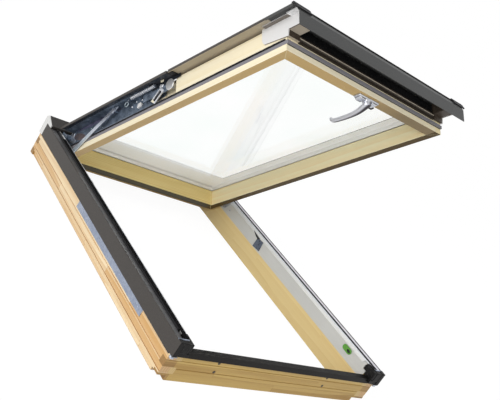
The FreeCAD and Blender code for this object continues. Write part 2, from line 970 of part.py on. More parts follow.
def corner_cover():
    """White plastic cover on the side of the right lower corner of the sash."""
    s1 = sash_bottom_s
    s0 = s1 - cover_length
    nose_s = flap_front_s - 4.0
    outline = [
        (s0, cladding_n - cladding_thick),
        (s0, -22.0),
        (s0 + 3.0, -30.0),
        (s0 + 9.0, -36.0),
        (s1 + 7.0, cover_low_n),
        (s1 + 9.0, cover_nose_n),
        (nose_s, cover_nose_n),
        (nose_s, flap_knee_n),
        (flap_s - 4.0, cladding_n - cladding_thick),
    ]
    x0 = sash_half
    side = moving_along_width(outline, x0, x0 + cover_thick)
    flange = moving_bar(
        x0 + cover_thick,
        x0 + cover_thick + cover_flange,
        s0 + 12.0,
        flap_s - 12.0,
        cladding_n - cladding_thick - cover_flange_thick,
        cladding_n - cladding_thick,
    )
    return joined([side, flange])


def end_block():
    """Stepped plastic end piece between the ribbed profile and the right corner cover."""
    s0 = sash_bottom_s
    step = s0 + end_block_step
    nose = flap_front_s - 3.0
    wall = end_block_wall
    shell = [
        (s0, end_block_low_n),
        (step, end_block_low_n),
        (step, end_block_nose_n),
        (nose, end_block_nose_n),
        (nose, end_block_nose_n + wall),
        (step - wall, end_block_nose_n + wall),
        (step - wall, end_block_low_n + wall),
        (s0, end_block_low_n + wall),
    ]
    end = [
        (s0, end_block_low_n),
        (step, end_block_low_n),
        (step, end_block_nose_n),
        (nose, end_block_nose_n),
        (nose, flap_knee_n - 1.0),
        (flap_s - 4.0, cladding_n - cladding_thick),
        (s0, cladding_n - cladding_thick),
    ]
    sheet = moving_along_width(shell, end_block_in, sash_half)
    wall_piece = moving_along_width(end, end_block_in, end_block_in + wall)
    return joined([sheet, wall_piece])


def bumper():
    """Ribbed plastic piece over the fold of the flap at its right end."""
    rise = bumper_height
    section = [
        (flap_s - 6.0, cladding_n),
        (flap_s - 6.0, cladding_n + rise),
        (flap_s + 1.0, cladding_n + rise),
        (flap_s + 1.5, cladding_n + 0.5),
        (flap_s + 3.5, cladding_n + 1.0),
        (flap_s + 6.0, cladding_n - 3.0),
        (flap_s + 5.0, cladding_n - 6.0),
        (flap_s + 8.0, cladding_n - 7.0),
        (flap_s + 11.0, cladding_n - 13.0),
        (flap_s + 7.0, cladding_n - 14.3),
        (flap_s, cladding_n),
    ]
    return moving_along_width(section, cladding_edge_x - bumper_width, cladding_edge_x)


def handle_base():
    """Metal plate with a raised hub that carries the lever."""
    half = handle_base_half
    s0 = handle_s - handle_base_width / 2
    s1 = handle_s + handle_base_width / 2
    low = sash_room_n - handle_base_thick
    plate = moving_bar(-half, half, s0, s1, low, sash_room_n)
    upright = [e for e in plate.Edges if e.BoundBox.ZLength > handle_base_thick - 0.1]
    plate = plate.makeFillet(5.0, upright)
    rim = [e for e in plate.Edges if e.BoundBox.ZMax < shut_height + low + 0.1]
    plate = plate.makeChamfer(2.5, rim)
    start = FreeCAD.Vector(0, shut_y(handle_s), shut_height + low)
    hub = Part.makeCone(handle_hub_r + 2.0, handle_hub_r, handle_hub_height, start, FreeCAD.Vector(0, 0, -1))
    return joined([plate, hub])


def handle_lever():
    """Lever that points up the sash, tapering to a hooked tip."""
    top = sash_room_n - handle_base_thick - handle_hub_height - running_gap
    low = top - lever_thick
    root = lever_root_width / 2
    tip = lever_tip_width / 2
    tip_s = handle_s - lever_length
    outline = [
        (-root, shut_y(handle_s), shut_height + low),
        (root, shut_y(handle_s), shut_height + low),
        (tip, shut_y(tip_s), shut_height + low),
        (-tip, shut_y(tip_s), shut_height + low),
    ]
    arm = face_of(outline).extrude(FreeCAD.Vector(0, 0, lever_thick))
    start = FreeCAD.Vector(0, shut_y(handle_s), shut_height + low)
    hub = Part.makeCylinder(root + 1.5, lever_thick, start, FreeCAD.Vector(0, 0, 1))
    hook = moving_bar(-tip, tip, tip_s, tip_s + 7.0, top, top + lever_hook)
    return joined([arm, hub, hook])


# Write every piece

save("right_frame_stile", stile(low_strip_right_inset))
save("left_frame_stile", mirrored(stile(low_strip_left_inset)))
save("frame_sill_rail", sill_rail())
save("frame_head_rail", head_rail())
save_pair("inner_profile", inner_profile())
save_pair("groove_gasket", groove_gasket())
save_pair("side_cladding", side_cladding())
save_pair("ridge_sheet", ridge_sheet())
save_pair("fixing_strip", fixing_strip())
save("sill_cladding", sill_cladding())
save_pair("corner_cap", corner_cap())
save("head_cover", head_cover())
save_pair("head_end_plate", head_end_plate())
save_pair("hinge_bracket", hinge_bracket())
save_pair("guide_bracket", guide_bracket())
save_pair("spring_cover", cover_plate())
save_pair("lock_plug", lock_plug())

save_pair("hinge_arm", swung(hinge_arm()))
save_pair("arm_cladding", swung(arm_cladding()))
save_pair("pivot_disc", swung(pivot_disc()))
save_pair("arm_lever", swung(arm_lever()))
save_pair("strut", swung(strut()))

save_pair("sash_stile", swung(sash_stile()))
save("sash_top_rail", swung(sash_top_rail_piece()))
save("sash_bottom_rail", swung(sash_bottom_rail_piece()))
save("inner_pane", swung(pane(glass_room_n)))
save("outer_pane", swung(pane(glass_room_n + pane_thick + pane_gap)))
save("glass_spacer", swung(spacer()))
save_pair("sash_cladding", swung(sash_side_cladding()))
save("sash_flap", swung(sash_flap()))
save("sash_top_cladding", swung(sash_top_cladding()))
save("sash_bottom_profile", swung(sash_bottom_profile()))
save("sash_gasket", swung(sash_gasket()))
save_pair("corner_cover", swung(corner_cover()))
save_pair("profile_end", swung(end_block()))
save_pair("bumper", swung(bumper()))
save("handle_base", swung(handle_base()))
save("handle_lever", swung(handle_lever()))
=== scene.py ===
import math
import bmesh
import bpy
from mathutils import Matrix, Vector


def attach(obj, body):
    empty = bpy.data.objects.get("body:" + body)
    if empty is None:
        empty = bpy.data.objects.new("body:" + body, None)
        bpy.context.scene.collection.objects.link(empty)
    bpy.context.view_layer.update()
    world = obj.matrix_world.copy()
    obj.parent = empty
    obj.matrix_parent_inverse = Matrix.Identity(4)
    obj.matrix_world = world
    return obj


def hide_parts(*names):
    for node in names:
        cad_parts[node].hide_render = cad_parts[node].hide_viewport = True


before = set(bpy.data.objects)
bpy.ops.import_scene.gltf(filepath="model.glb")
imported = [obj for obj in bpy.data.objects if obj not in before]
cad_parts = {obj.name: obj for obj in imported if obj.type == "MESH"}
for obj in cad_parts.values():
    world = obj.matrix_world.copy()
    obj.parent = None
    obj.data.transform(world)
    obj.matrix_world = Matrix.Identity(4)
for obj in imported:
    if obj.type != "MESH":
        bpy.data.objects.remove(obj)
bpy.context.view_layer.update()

# Places are given in millimetres: x across the window, then v up the slope and z out of the
# roof on the frame, or s down the open sash and n out of it on the moving pieces.

SIDES = (("left", -1), ("right", 1))
HALF_LENGTH = 546
OPEN_ANGLE = math.radians(47)
SASH_ORIGIN = (488, 106)
SASH_HALF = 333
SASH_TOP = -23
SASH_BOTTOM = 987
SASH_SIDE_WIDTH = 28
SASH_BOTTOM_WIDTH = 32
SASH_PIVOT = (482, -4)
STRUT_PIVOT = (285, -2.5)
STRUT_LEAN = math.radians(18.7)
FRAME_HINGE = (1013.3, 115)
PLUG_V = 128
PLUG_Z = 100
HANDLE_S = 968
ARM_WEB = 320
SPRING_X = 345
SPRING_N = 1.4
BEAD_REACH = 290.5
BEAD_TOP = 13
BEAD_BOTTOM = 952
CLADDING_FACE = 389.2
STRIP_FACE = 387.6
SCREW_SEAT = 341.4


def on_frame(x, v, z):
    """Place on the frame."""
    return Vector((x, v - HALF_LENGTH, z)) / 1000


def on_sash(x, s, n):
    """Place on the open sash or on an arm."""
    y = SASH_ORIGIN[0] - s * math.cos(OPEN_ANGLE) + n * math.sin(OPEN_ANGLE)
    z = SASH_ORIGIN[1] + s * math.sin(OPEN_ANGLE) + n * math.cos(OPEN_ANGLE)
    return Vector((x, y, z)) / 1000


# Making pieces


def linked(name, data):
    """New object in the scene."""
    made = bpy.data.objects.new(name, data)
    bpy.context.scene.collection.objects.link(made)
    return made


def shown(name, mesh, finish, body, soft=0.0, edge_angle=30):
    """Piece from a mesh, with its finish, riding on a body."""
    piece = linked(name, mesh)
    mesh.materials.append(finish)
    for polygon in mesh.polygons:
        polygon.use_smooth = True
    mesh.set_sharp_from_angle(angle=math.radians(edge_angle))
    if soft:
        rounding = piece.modifiers.new("soft edges", "BEVEL")
        rounding.width = soft / 1000
        rounding.segments = 2
        rounding.limit_method = "ANGLE"
        rounding.angle_limit = math.radians(35)
    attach(piece, body)
    return piece


def solid_mesh(name, rings, closed_ends=True):
    """Mesh that joins rings of points one after another."""
    work = bmesh.new()
    rows = [[work.verts.new(p) for p in ring] for ring in rings]
    for low, high in zip(rows, rows[1:]):
        count = len(low)
        for i in range(count):
            j = (i + 1) % count
            work.faces.new((low[i], low[j], high[j], high[i]))
    if closed_ends:
        work.faces.new(rows[0])
        work.faces.new(rows[-1])
    bmesh.ops.recalc_face_normals(work, faces=work.faces)
    mesh = bpy.data.meshes.new(name)
    work.to_mesh(mesh)
    work.free()
    return mesh


def level_ring(outline, axis, level, place):
    """Points of an outline at one level of an axis: 0, 1 or 2."""
    ring = []
    for point in outline:
        spot = list(point)
        spot.insert(axis, level)
        ring.append(place(*spot))
    return ring


def prism(name, outline, axis, low, high, place, finish, body, soft=0.3):
    """Piece with one outline all along an axis."""
    rings = [level_ring(outline, axis, level, place) for level in (low, high)]
    return shown(name, solid_mesh(name, rings), finish, body, soft)


def open_prism(name, outer, inner, axis, low, high, place, finish, body):
    """Flat piece with an opening in it."""
    path = ((outer, low), (outer, high), (inner, high), (inner, low), (outer, low))
    rings = [level_ring(outline, axis, level, place) for outline, level in path]
    return shown(name, solid_mesh(name, rings, False), finish, body)


def around(steps):
    """Cosine and sine of equal steps round a circle."""
    angles = [2 * math.pi * k / steps for k in range(steps)]
    return [(math.cos(angle), math.sin(angle)) for angle in angles]


def turned(name, profile, centre, axis, place, finish, body, steps=20):
    """Round piece: a profile of (radius, height) pairs turned about an axis through its centre."""
    first, second = [i for i in range(3) if i != axis]
    rings = []
    for radius, height in profile:
        ring = []
        for cosine, sine in around(steps):
            spot = list(centre)
            spot[first] += radius * cosine
            spot[second] += radius * sine
            spot[axis] += height
            ring.append(place(*spot))
        rings.append(ring)
    shown(name, solid_mesh(name, rings), finish, body, edge_angle=40)


def wire(name, points, radius, finish, body):
    """Round wire through the points."""
    curve = bpy.data.curves.new(name, "CURVE")
    curve.dimensions = "3D"
    curve.bevel_depth = radius / 1000
    curve.bevel_resolution = 3
    curve.use_fill_caps = True
    line = curve.splines.new("POLY")
    line.points.add(len(points) - 1)
    for spot, point in zip(line.points, points):
        spot.co = (*point, 1.0)
    curve.materials.append(finish)
    piece = linked(name, curve)
    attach(piece, body)


def box_outline(a0, a1, b0, b1):
    """Outline of a rectangle."""
    return [(a0, b0), (a1, b0), (a1, b1), (a0, b1)]


def helix(x, s0, s1, n, radius, turns):
    """Points of a coil that runs down the sash."""
    steps = 12
    points = []
    for k in range(turns * steps + 1):
        share = k / (turns * steps)
        angle = 2 * math.pi * k / steps
        points.append((x + radius * math.cos(angle), s0 + (s1 - s0) * share, n + radius * math.sin(angle)))
    return points


class Maker:
    """Makes pieces of one body on one side of the window, with x counted outwards."""

    def __init__(self, side, sign, place, body):
        self.prefix = side + "_"
        self.body = body
        self.place = lambda x, a, b: place(sign * x, a, b)

    def plate(self, name, outline, low, high, finish, soft=0.3):
        """Piece with its outline seen from the side of the window."""
        return prism(self.prefix + name, outline, 0, low, high, self.place, finish, self.body, soft)

    def strip(self, name, section, low, high, finish, soft=0.3):
        """Piece that runs along a stile."""
        prism(self.prefix + name, section, 1, low, high, self.place, finish, self.body, soft)

    def disc(self, name, profile, centre, finish, steps=20, axis=0):
        """Round piece."""
        turned(self.prefix + name, profile, centre, axis, self.place, finish, self.body, steps)

    def rod(self, name, points, radius, finish):
        """Round wire."""
        wire(self.prefix + name, [self.place(*point) for point in points], radius, finish, self.body)

    def rivets(self, name, x, spots, radius, height, finish):
        """Domed rivet heads that point outwards."""
        shares = ((1.0, 0.0), (1.0, 0.3), (0.8, 0.75), (0.4, 1.0))
        profile = [(across * radius, up * height) for across, up in shares]
        for k, spot in enumerate(spots):
            self.disc(f"{name}_{k}", profile, (x, *spot), finish, 14)

    def screw_inward(self, name, v, z, radius, finish):
        """Slotted screw head that points to the middle of the window."""
        profile = [(radius, 0.0), (radius, -0.6), (0.7 * radius, -1.3), (0.35 * radius, -1.5)]
        self.disc(name, profile, (SCREW_SEAT, v, z), finish, 16)
        # The slot is a flat black strip: painted shade in its groove
        slot = box_outline(v - 0.7 * radius, v + 0.7 * radius, z - 0.5, z + 0.5)
        self.plate(name + "_slot", slot, 339.75, 340.2, black_rubber, 0.05)


# Making finishes


def tone(red, green, blue):
    """Colour as seen on a screen, 0 to 255, turned into light values."""
    values = []
    for level in (red, green, blue):
        part = level / 255
        values.append(part / 12.92 if part <= 0.04045 else ((part + 0.055) / 1.055) ** 2.4)
    return (*values, 1.0)


def add(tree, kind, values=None, **settings):
    """Node with its settings, its values set and its links made."""
    made = tree.nodes.new(kind)
    for key, setting in settings.items():
        setattr(made, key, setting)
    for key, value in (values or {}).items():
        if isinstance(value, bpy.types.NodeSocket):
            tree.links.new(value, made.inputs[key])
        else:
            made.inputs[key].default_value = value
    return made


def calc(tree, operation, first, second=0.0, third=0.0, clamp=False):
    """Number worked out from up to three others."""
    values = {0: first, 1: second}
    if operation == "MULTIPLY_ADD":
        values[2] = third
    return add(tree, "ShaderNodeMath", values, operation=operation, use_clamp=clamp).outputs[0]


def times(tree, first, second):
    """Product of two numbers."""
    return calc(tree, "MULTIPLY", first, second)


def plus(tree, first, second, third):
    """Product of two numbers with a third added."""
    return calc(tree, "MULTIPLY_ADD", first, second, third)


def parts_of(tree, vector):
    """The three numbers of a vector."""
    return add(tree, "ShaderNodeSeparateXYZ", {0: vector}).outputs


def vector_of(tree, x, y, z=0.0):
    """Vector of three numbers."""
    return add(tree, "ShaderNodeCombineXYZ", {0: x, 1: y, 2: z}).outputs[0]


def stretched(tree, vector, factors):
    """Vector with each part multiplied."""
    return add(tree, "ShaderNodeVectorMath", {0: vector, 1: factors}, operation="MULTIPLY").outputs[0]


def brightened(tree, colour, level):
    """Colour multiplied by a number."""
    return add(tree, "ShaderNodeVectorMath", {0: colour, "Scale": level}, operation="SCALE").outputs[0]


def noise(tree, place, scale, detail):
    """Cloudy noise from 0 to 1."""
    values = {"Vector": place, "Scale": scale, "Detail": detail}
    return add(tree, "ShaderNodeTexNoise", values).outputs["Fac"]


def ramp(tree, value, stops):
    """Grey or coloured ramp with stops of (place, colour)."""
    made = add(tree, "ShaderNodeValToRGB", {"Fac": value})
    for element, (place, colour) in zip(made.color_ramp.elements, stops):
        element.position = place
        element.color = colour if isinstance(colour, tuple) else (colour, colour, colour, 1.0)
    return made.outputs["Color"]


def mixed(tree, amount, first, second):
    """Two colours mixed."""
    return add(tree, "ShaderNodeMix", {0: amount, 6: first, 7: second}, data_type="RGBA").outputs[2]


FLOAT = "NodeSocketFloat"
COLOUR = "NodeSocketColor"
VECTOR = "NodeSocketVector"
SURFACE = (("Colour", COLOUR), ("Roughness", FLOAT), ("Height", FLOAT))
PLACE_INPUT = ("Place", VECTOR, (0, 0, 0))


def effect(name, inputs, outputs):
    """Shader node group with named inputs and outputs."""
    tree = bpy.data.node_groups.new(name, "ShaderNodeTree")
    for label, kind, value in inputs:
        socket = tree.interface.new_socket(name=label, in_out="INPUT", socket_type=kind)
        socket.default_value = value
    for label, kind in outputs:
        tree.interface.new_socket(name=label, in_out="OUTPUT", socket_type=kind)
    return tree, tree.nodes.new("NodeGroupInput").outputs, tree.nodes.new("NodeGroupOutput").inputs


def sent(tree, result, *values):
    """Group with its outputs joined, in their order."""
    for k, value in enumerate(values):
        tree.links.new(value, result[k])
    return tree


def placed(tree, group, values):
    """A group placed in a material with its own values."""
    return add(tree, "ShaderNodeGroup", values, node_tree=group).outputs


def grain_effect():
    """Pine figure: rings, fibres, boards of slightly different tone and a darker end grain.
    The first coordinate runs along the grain."""
    inputs = [
        PLACE_INPUT,
        ("Facing Along", FLOAT, 0.0),
        ("Pale", COLOUR, tone(236, 208, 160)),
        ("Dark", COLOUR, tone(200, 156, 100)),
        ("Ring Size", FLOAT, 0.006),
        ("Board Length", FLOAT, 0.45),
        ("Board Contrast", FLOAT, 0.5),
        ("Joint", FLOAT, 0.0),
    ]
    tree, given, result = effect("pine grain", inputs, SURFACE)
    board_width = 0.0235
    row_shift = 0.37
    parts = parts_of(tree, given["Place"])
    strip = calc(tree, "DIVIDE", parts["Z"], board_width)
    row = calc(tree, "FLOOR", strip)
    board = calc(tree, "DIVIDE", parts["X"], given["Board Length"])
    run = calc(tree, "ADD", board, times(tree, row, row_shift))
    along_line = calc(tree, "LESS_THAN", calc(tree, "FRACT", strip), 0.05)
    cross_line = calc(tree, "LESS_THAN", calc(tree, "FRACT", run), 0.0035)
    joint = times(tree, calc(tree, "MAXIMUM", along_line, cross_line), given["Joint"])
    cell = vector_of(tree, calc(tree, "FLOOR", run), row)
    chance = add(tree, "ShaderNodeTexWhiteNoise", {0: cell}, noise_dimensions="3D").outputs["Value"]
    slow = times(tree, parts["X"], 0.06)
    pith = plus(tree, chance, 0.05, parts["Y"])
    log = vector_of(tree, slow, pith, calc(tree, "ADD", parts["Z"], 0.035))
    ring_values = {
        "Vector": log,
        "Scale": calc(tree, "DIVIDE", 0.314, given["Ring Size"]),
        "Distortion": 5.0,
        "Detail": 2.0,
        "Detail Scale": 0.35,
        "Detail Roughness": 0.55,
    }
    ring_kind = {"wave_type": "RINGS", "rings_direction": "X", "wave_profile": "SAW"}
    rings = add(tree, "ShaderNodeTexWave", ring_values, **ring_kind).outputs["Fac"]
    fibre = noise(tree, stretched(tree, given["Place"], (9, 420, 420)), 1.0, 3.0)
    cloud = noise(tree, stretched(tree, given["Place"], (3, 24, 24)), 1.0, 2.0)
    figure = plus(tree, fibre, 0.5, times(tree, rings, 0.45))
    figure = plus(tree, cloud, 0.6, calc(tree, "SUBTRACT", figure, 0.32))
    lean = times(tree, calc(tree, "SUBTRACT", chance, 0.5), given["Board Contrast"])
    figure = calc(tree, "ADD", figure, lean, clamp=True)
    face = mixed(tree, figure, given["Pale"], given["Dark"])
    face = mixed(tree, joint, face, tone(158, 104, 52))
    cut = mixed(tree, 0.45, given["Dark"], tone(150, 104, 60))
    cut = mixed(tree, times(tree, rings, 0.5), cut, given["Pale"])
    end = calc(tree, "GREATER_THAN", given["Facing Along"], 0.8)
    colour = mixed(tree, times(tree, end, 0.75), face, cut)
    return sent(tree, result, colour, plus(tree, figure, 0.14, 0.42), plus(tree, fibre, 0.7, rings))


def flake_effect():
    """Zinc coating: flakes of different tone, with stains."""
    inputs = [
        PLACE_INPUT,
        ("Pale", COLOUR, tone(178, 186, 202)),
        ("Dark", COLOUR, tone(120, 130, 150)),
        ("Flake Size", FLOAT, 0.004),
        ("Stain", FLOAT, 0.4),
    ]
    tree, given, result = effect("zinc flakes", inputs, SURFACE)
    scale = calc(tree, "DIVIDE", 1.0, given["Flake Size"])
    flakes = add(tree, "ShaderNodeTexVoronoi", {"Vector": given["Place"], "Scale": scale})
    level = add(tree, "ShaderNodeSeparateColor", {0: flakes.outputs["Color"]}).outputs[0]
    cloud = noise(tree, given["Place"], 38.0, 4.0)
    stain_and_shade = times(tree, ramp(tree, cloud, [(0.38, 0.0), (0.66, 1.0)]), given["Stain"])
    base = mixed(tree, times(tree, level, 0.6), given["Pale"], given["Dark"])
    colour = mixed(tree, stain_and_shade, base, given["Dark"])
    return sent(tree, result, colour, plus(tree, level, 0.16, 0.26), calc(tree, "ADD", level, cloud))


def coat_effect():
    """Painted or moulded surface: a soft change of tone, fine orange-peel and a little dust."""
    inputs = [
        PLACE_INPUT,
        ("Main", COLOUR, tone(84, 77, 71)),
        ("Shift", FLOAT, 0.1),
        ("Dust", FLOAT, 0.08),
        ("Peel Size", FLOAT, 0.0016),
        ("Gloss", FLOAT, 0.4),
    ]
    tree, given, result = effect("coat", inputs, SURFACE)
    slow = noise(tree, given["Place"], 7.0, 3.0)
    peel = noise(tree, given["Place"], calc(tree, "DIVIDE", 1.0, given["Peel Size"]), 2.0)
    lift = times(tree, calc(tree, "SUBTRACT", slow, 0.5), given["Shift"])
    shaded = brightened(tree, given["Main"], plus(tree, lift, 4.0, 1.0))
    dust = times(tree, ramp(tree, peel, [(0.5, 0.0), (0.72, 1.0)]), given["Dust"])
    colour = mixed(tree, dust, shaded, tone(196, 190, 180))
    return sent(tree, result, colour, plus(tree, slow, 0.16, given["Gloss"]), peel)


def drawn_effect():
    """Rolled or drawn metal: fine lines along the first coordinate."""
    inputs = [
        PLACE_INPUT,
        ("Main", COLOUR, tone(192, 192, 187)),
        ("Line Depth", FLOAT, 0.25),
        ("Gloss", FLOAT, 0.34),
    ]
    tree, given, result = effect("drawn metal", inputs, SURFACE)
    lines = noise(tree, stretched(tree, given["Place"], (6, 500, 500)), 1.0, 3.0)
    wide = noise(tree, given["Place"], 11.0, 3.0)
    both = calc(tree, "ADD", times(tree, lines, 0.7), times(tree, wide, 0.6))
    swing = times(tree, calc(tree, "SUBTRACT", both, 0.65), given["Line Depth"])
    shaded = brightened(tree, given["Main"], plus(tree, swing, 2.0, 1.0))
    return sent(tree, result, shaded, plus(tree, lines, 0.2, given["Gloss"]), lines)


def facing_effect():
    """Mask that goes from 0 to 1 as a surface turns to a direction."""
    inputs = [
        ("Normal", VECTOR, (0, 0, 1)),
        ("Direction", VECTOR, (0, 0, 1)),
        ("Low", FLOAT, 0.5),
        ("High", FLOAT, 0.7),
    ]
    tree, given, result = effect("facing", inputs, [("Mask", FLOAT)])
    both = {0: given["Normal"], 1: given["Direction"]}
    likeness = add(tree, "ShaderNodeVectorMath", both, operation="DOT_PRODUCT").outputs["Value"]
    values = {"Value": likeness, "From Min": given["Low"], "From Max": given["High"]}
    return sent(tree, result, add(tree, "ShaderNodeMapRange", values, clamp=True).outputs[0])


def mitre_effect():
    """Grain direction of the sash timber: down the sides, across the rails, and a fine line
    where they meet at the mitred corners."""
    tree, given, result = effect("mitred corners", [PLACE_INPUT], [("Place", VECTOR), ("Line", FLOAT)])
    line_width = 0.0009
    parts = parts_of(tree, given["Place"])
    from_side = calc(tree, "SUBTRACT", SASH_HALF / 1000, calc(tree, "ABSOLUTE", parts["X"]))
    to_middle = calc(tree, "SUBTRACT", parts["Y"], (SASH_TOP + SASH_BOTTOM) / 2000)
    from_end = calc(tree, "SUBTRACT", (SASH_BOTTOM - SASH_TOP) / 2000, calc(tree, "ABSOLUTE", to_middle))
    gap = calc(tree, "SUBTRACT", from_end, times(tree, from_side, SASH_BOTTOM_WIDTH / SASH_SIDE_WIDTH))
    on_side = calc(tree, "GREATER_THAN", gap, 0.0)
    turned_parts = vector_of(tree, parts["Y"], parts["X"], parts["Z"])
    values = {0: on_side, 4: given["Place"], 5: turned_parts}
    place = add(tree, "ShaderNodeMix", values, data_type="VECTOR").outputs[1]
    near = calc(tree, "LESS_THAN", calc(tree, "ABSOLUTE", gap), line_width)
    return sent(tree, result, place, near)


GRAIN = grain_effect()
FLAKES = flake_effect()
COAT = coat_effect()
DRAWN = drawn_effect()
FACING = facing_effect()
MITRE = mitre_effect()

# Directions: the first coordinate across the window, up the frame or down the sash
ACROSS = (0.0, 0.0, 0.0)
UP_FRAME = (0.0, 0.0, math.radians(-90))
DOWN_SASH = (OPEN_ANGLE - math.pi, 0.0, math.radians(-90))
ROOM_WARD = (0.0, -math.sin(OPEN_ANGLE), -math.cos(OPEN_ANGLE))
LEFT_WARD = (-1.0, 0.0, 0.0)
DOWN_WARD = (0.0, -math.cos(OPEN_ANGLE), math.sin(OPEN_ANGLE))
# Faces of the lever turned this way get painted shade
SHADE_WARD = (0.676, -0.71, -0.2)

# Pale and dark tones of the pine
INNER_PINE = (tone(240, 216, 156), tone(226, 196, 132))
LAP_PINE = (tone(176, 134, 74), tone(120, 84, 40))
SASH_PINE = (tone(244, 224, 170), tone(216, 184, 124))
TOP_RAIL_PINE = (tone(244, 226, 160), tone(216, 184, 112))
# Painted light: paler tones for the sash faces turned to the left or down the slope
LIT_SASH_PINE = (tone(254, 245, 218), tone(244, 228, 188))
LIT_RIGHT_STILE_PINE = (tone(255, 248, 208), tone(250, 226, 172))
# Painted shade: deeper tones for the room side of the sash
ROOM_SHADE_PINE = (tone(228, 196, 132), tone(200, 164, 102))
DEEP_ROOM_SHADE_PINE = (tone(100, 82, 46), tone(78, 62, 34))
SHADED_PINE = (tone(78, 68, 36), tone(58, 50, 24))


def blank_finish(name):
    """Material with only its Principled shader, and the coordinates of its object."""
    material = bpy.data.materials.new(name)
    material.use_nodes = True
    tree = material.node_tree
    return material, tree, tree.nodes["Principled BSDF"], add(tree, "ShaderNodeTexCoord").outputs


def dress(tree, shader, outputs, bump, depth=0.0002):
    """Colour, roughness and bump of an effect joined to the shader."""
    tree.links.new(outputs["Colour"], shader.inputs["Base Color"])
    tree.links.new(outputs["Roughness"], shader.inputs["Roughness"])
    raised = add(tree, "ShaderNodeBump", {"Strength": bump, "Distance": depth, "Height": outputs["Height"]})
    tree.links.new(raised.outputs[0], shader.inputs["Normal"])


def facing(tree, source, direction, low=0.5, high=0.7):
    """Mask of the faces that are turned to a direction of the object."""
    values = {"Normal": source["Normal"], "Direction": direction, "Low": low, "High": high}
    return placed(tree, FACING, values)["Mask"]


def blended(tree, amount, first, second):
    """Two pairs of tones mixed."""
    return [mixed(tree, amount, a, b) for a, b in zip(first, second)]


def pine(name, turn, tones, ring, board, contrast, joint, end=0.0, beyond=0.0):
    """Lacquered pine with its grain along one direction, darker in its end laps, with its boards
    told apart only beyond a distance from the middle."""
    material, tree, shader, source = blank_finish(name)
    place = add(tree, "ShaderNodeMapping", {"Vector": source["Object"], "Rotation": turn}).outputs[0]
    normal = {"Vector": source["Normal"], "Rotation": turn}
    ahead = parts_of(tree, add(tree, "ShaderNodeMapping", normal, vector_type="VECTOR").outputs[0])["X"]
    parts = parts_of(tree, place)
    if beyond:
        outer = calc(tree, "GREATER_THAN", calc(tree, "ABSOLUTE", parts["Y"]), beyond)
        contrast = times(tree, outer, contrast)
        joint = times(tree, outer, joint)
        tones = blended(tree, outer, INNER_PINE, tones)
    if end:
        lap = calc(tree, "GREATER_THAN", calc(tree, "ABSOLUTE", parts["X"]), end)
        tones = blended(tree, times(tree, lap, 0.7), tones, LAP_PINE)
    values = {
        "Place": place,
        "Facing Along": calc(tree, "ABSOLUTE", ahead),
        "Pale": tones[0],
        "Dark": tones[1],
        "Ring Size": ring,
        "Board Length": board,
        "Board Contrast": contrast,
        "Joint": joint,
    }
    dress(tree, shader, placed(tree, GRAIN, values), 0.25, 0.0004)
    shader.inputs["Coat Weight"].default_value = 0.12
    shader.inputs["Coat Roughness"].default_value = 0.35
    return material


def mitred_pine(name, tones, outer, room, sheen=1.0, stain_and_shade=0.0):
    """Sash pine: its grain follows each side of the sash. Its faces turned to the left or down the slope are
    paler with painted light, and its room side is deeper with painted shade, more so to the right."""
    material, tree, shader, source = blank_finish(name)
    shift = (0.0, -SASH_ORIGIN[0] / 1000, -SASH_ORIGIN[1] / 1000)
    moved = add(tree, "ShaderNodeVectorMath", {0: source["Object"], 1: shift}, operation="ADD").outputs[0]
    turn = (OPEN_ANGLE - math.pi, 0.0, 0.0)
    place = add(tree, "ShaderNodeMapping", {"Vector": moved, "Rotation": turn}).outputs[0]
    corner = placed(tree, MITRE, {"Place": place})
    # Painted shade on the room side, deepening towards the right
    if stain_and_shade:
        across = parts_of(tree, source["Object"])["X"]
        values = {"Value": across, "From Min": -0.05, "From Max": 0.16}
        reach = add(tree, "ShaderNodeMapRange", values).outputs[0]
        room = blended(tree, times(tree, reach, stain_and_shade), room, DEEP_ROOM_SHADE_PINE)
    # Painted shade on the room side and painted light on the faces turned to the left or down the slope
    tones = blended(tree, facing(tree, source, ROOM_WARD), tones, room)
    leftward = facing(tree, source, LEFT_WARD)
    downward = facing(tree, source, DOWN_WARD)
    tones = blended(tree, calc(tree, "MAXIMUM", leftward, downward), tones, outer)
    values = {
        "Place": corner["Place"],
        "Pale": tones[0],
        "Dark": tones[1],
        "Ring Size": 0.005,
        "Board Length": 2.0,
        "Board Contrast": 0.15,
    }
    grain = placed(tree, GRAIN, values)
    dress(tree, shader, grain, 0.2, 0.0004)
    colour = mixed(tree, times(tree, corner["Line"], 0.8), grain["Colour"], tone(244, 232, 190))
    tree.links.new(colour, shader.inputs["Base Color"])
    shader.inputs["Specular IOR Level"].default_value = 0.5 * sheen
    shader.inputs["Coat Weight"].default_value = 0.12 * sheen
    shader.inputs["Coat Roughness"].default_value = 0.35
    return material


def coated(name, colour, gloss, shift=0.05, dust=0.05, peel=0.001, bump=0.12, metallic=0.0, specular=0.3,
           underside=None):
    """Painted sheet, rubber or plastic. Its room side may have another colour: on some pieces its own, on
    the corner covers painted shade and on the glass band painted reflection.
    """
    material, tree, shader, source = blank_finish(name)
    colour = tone(*colour)
    if underside:
        colour = mixed(tree, facing(tree, source, ROOM_WARD), colour, tone(*underside))
    values = {"Main": colour, "Shift": shift, "Dust": dust, "Peel Size": peel, "Gloss": gloss}
    values["Place"] = source["Object"]
    dress(tree, shader, placed(tree, COAT, values), bump)
    shader.inputs["Metallic"].default_value = metallic
    shader.inputs["Specular IOR Level"].default_value = specular
    return material


def painted(name, colour, gloss, shift=0.06, peel=0.0016, **others):
    """Painted sheet, or plastic with a coarser surface."""
    return coated(name, colour, gloss, shift, peel=peel, **others)


def clean_plastic(name, colour, gloss, shift, **others):
    """Moulded plastic without dust."""
    return coated(name, colour, gloss, shift, dust=0.0, **others)


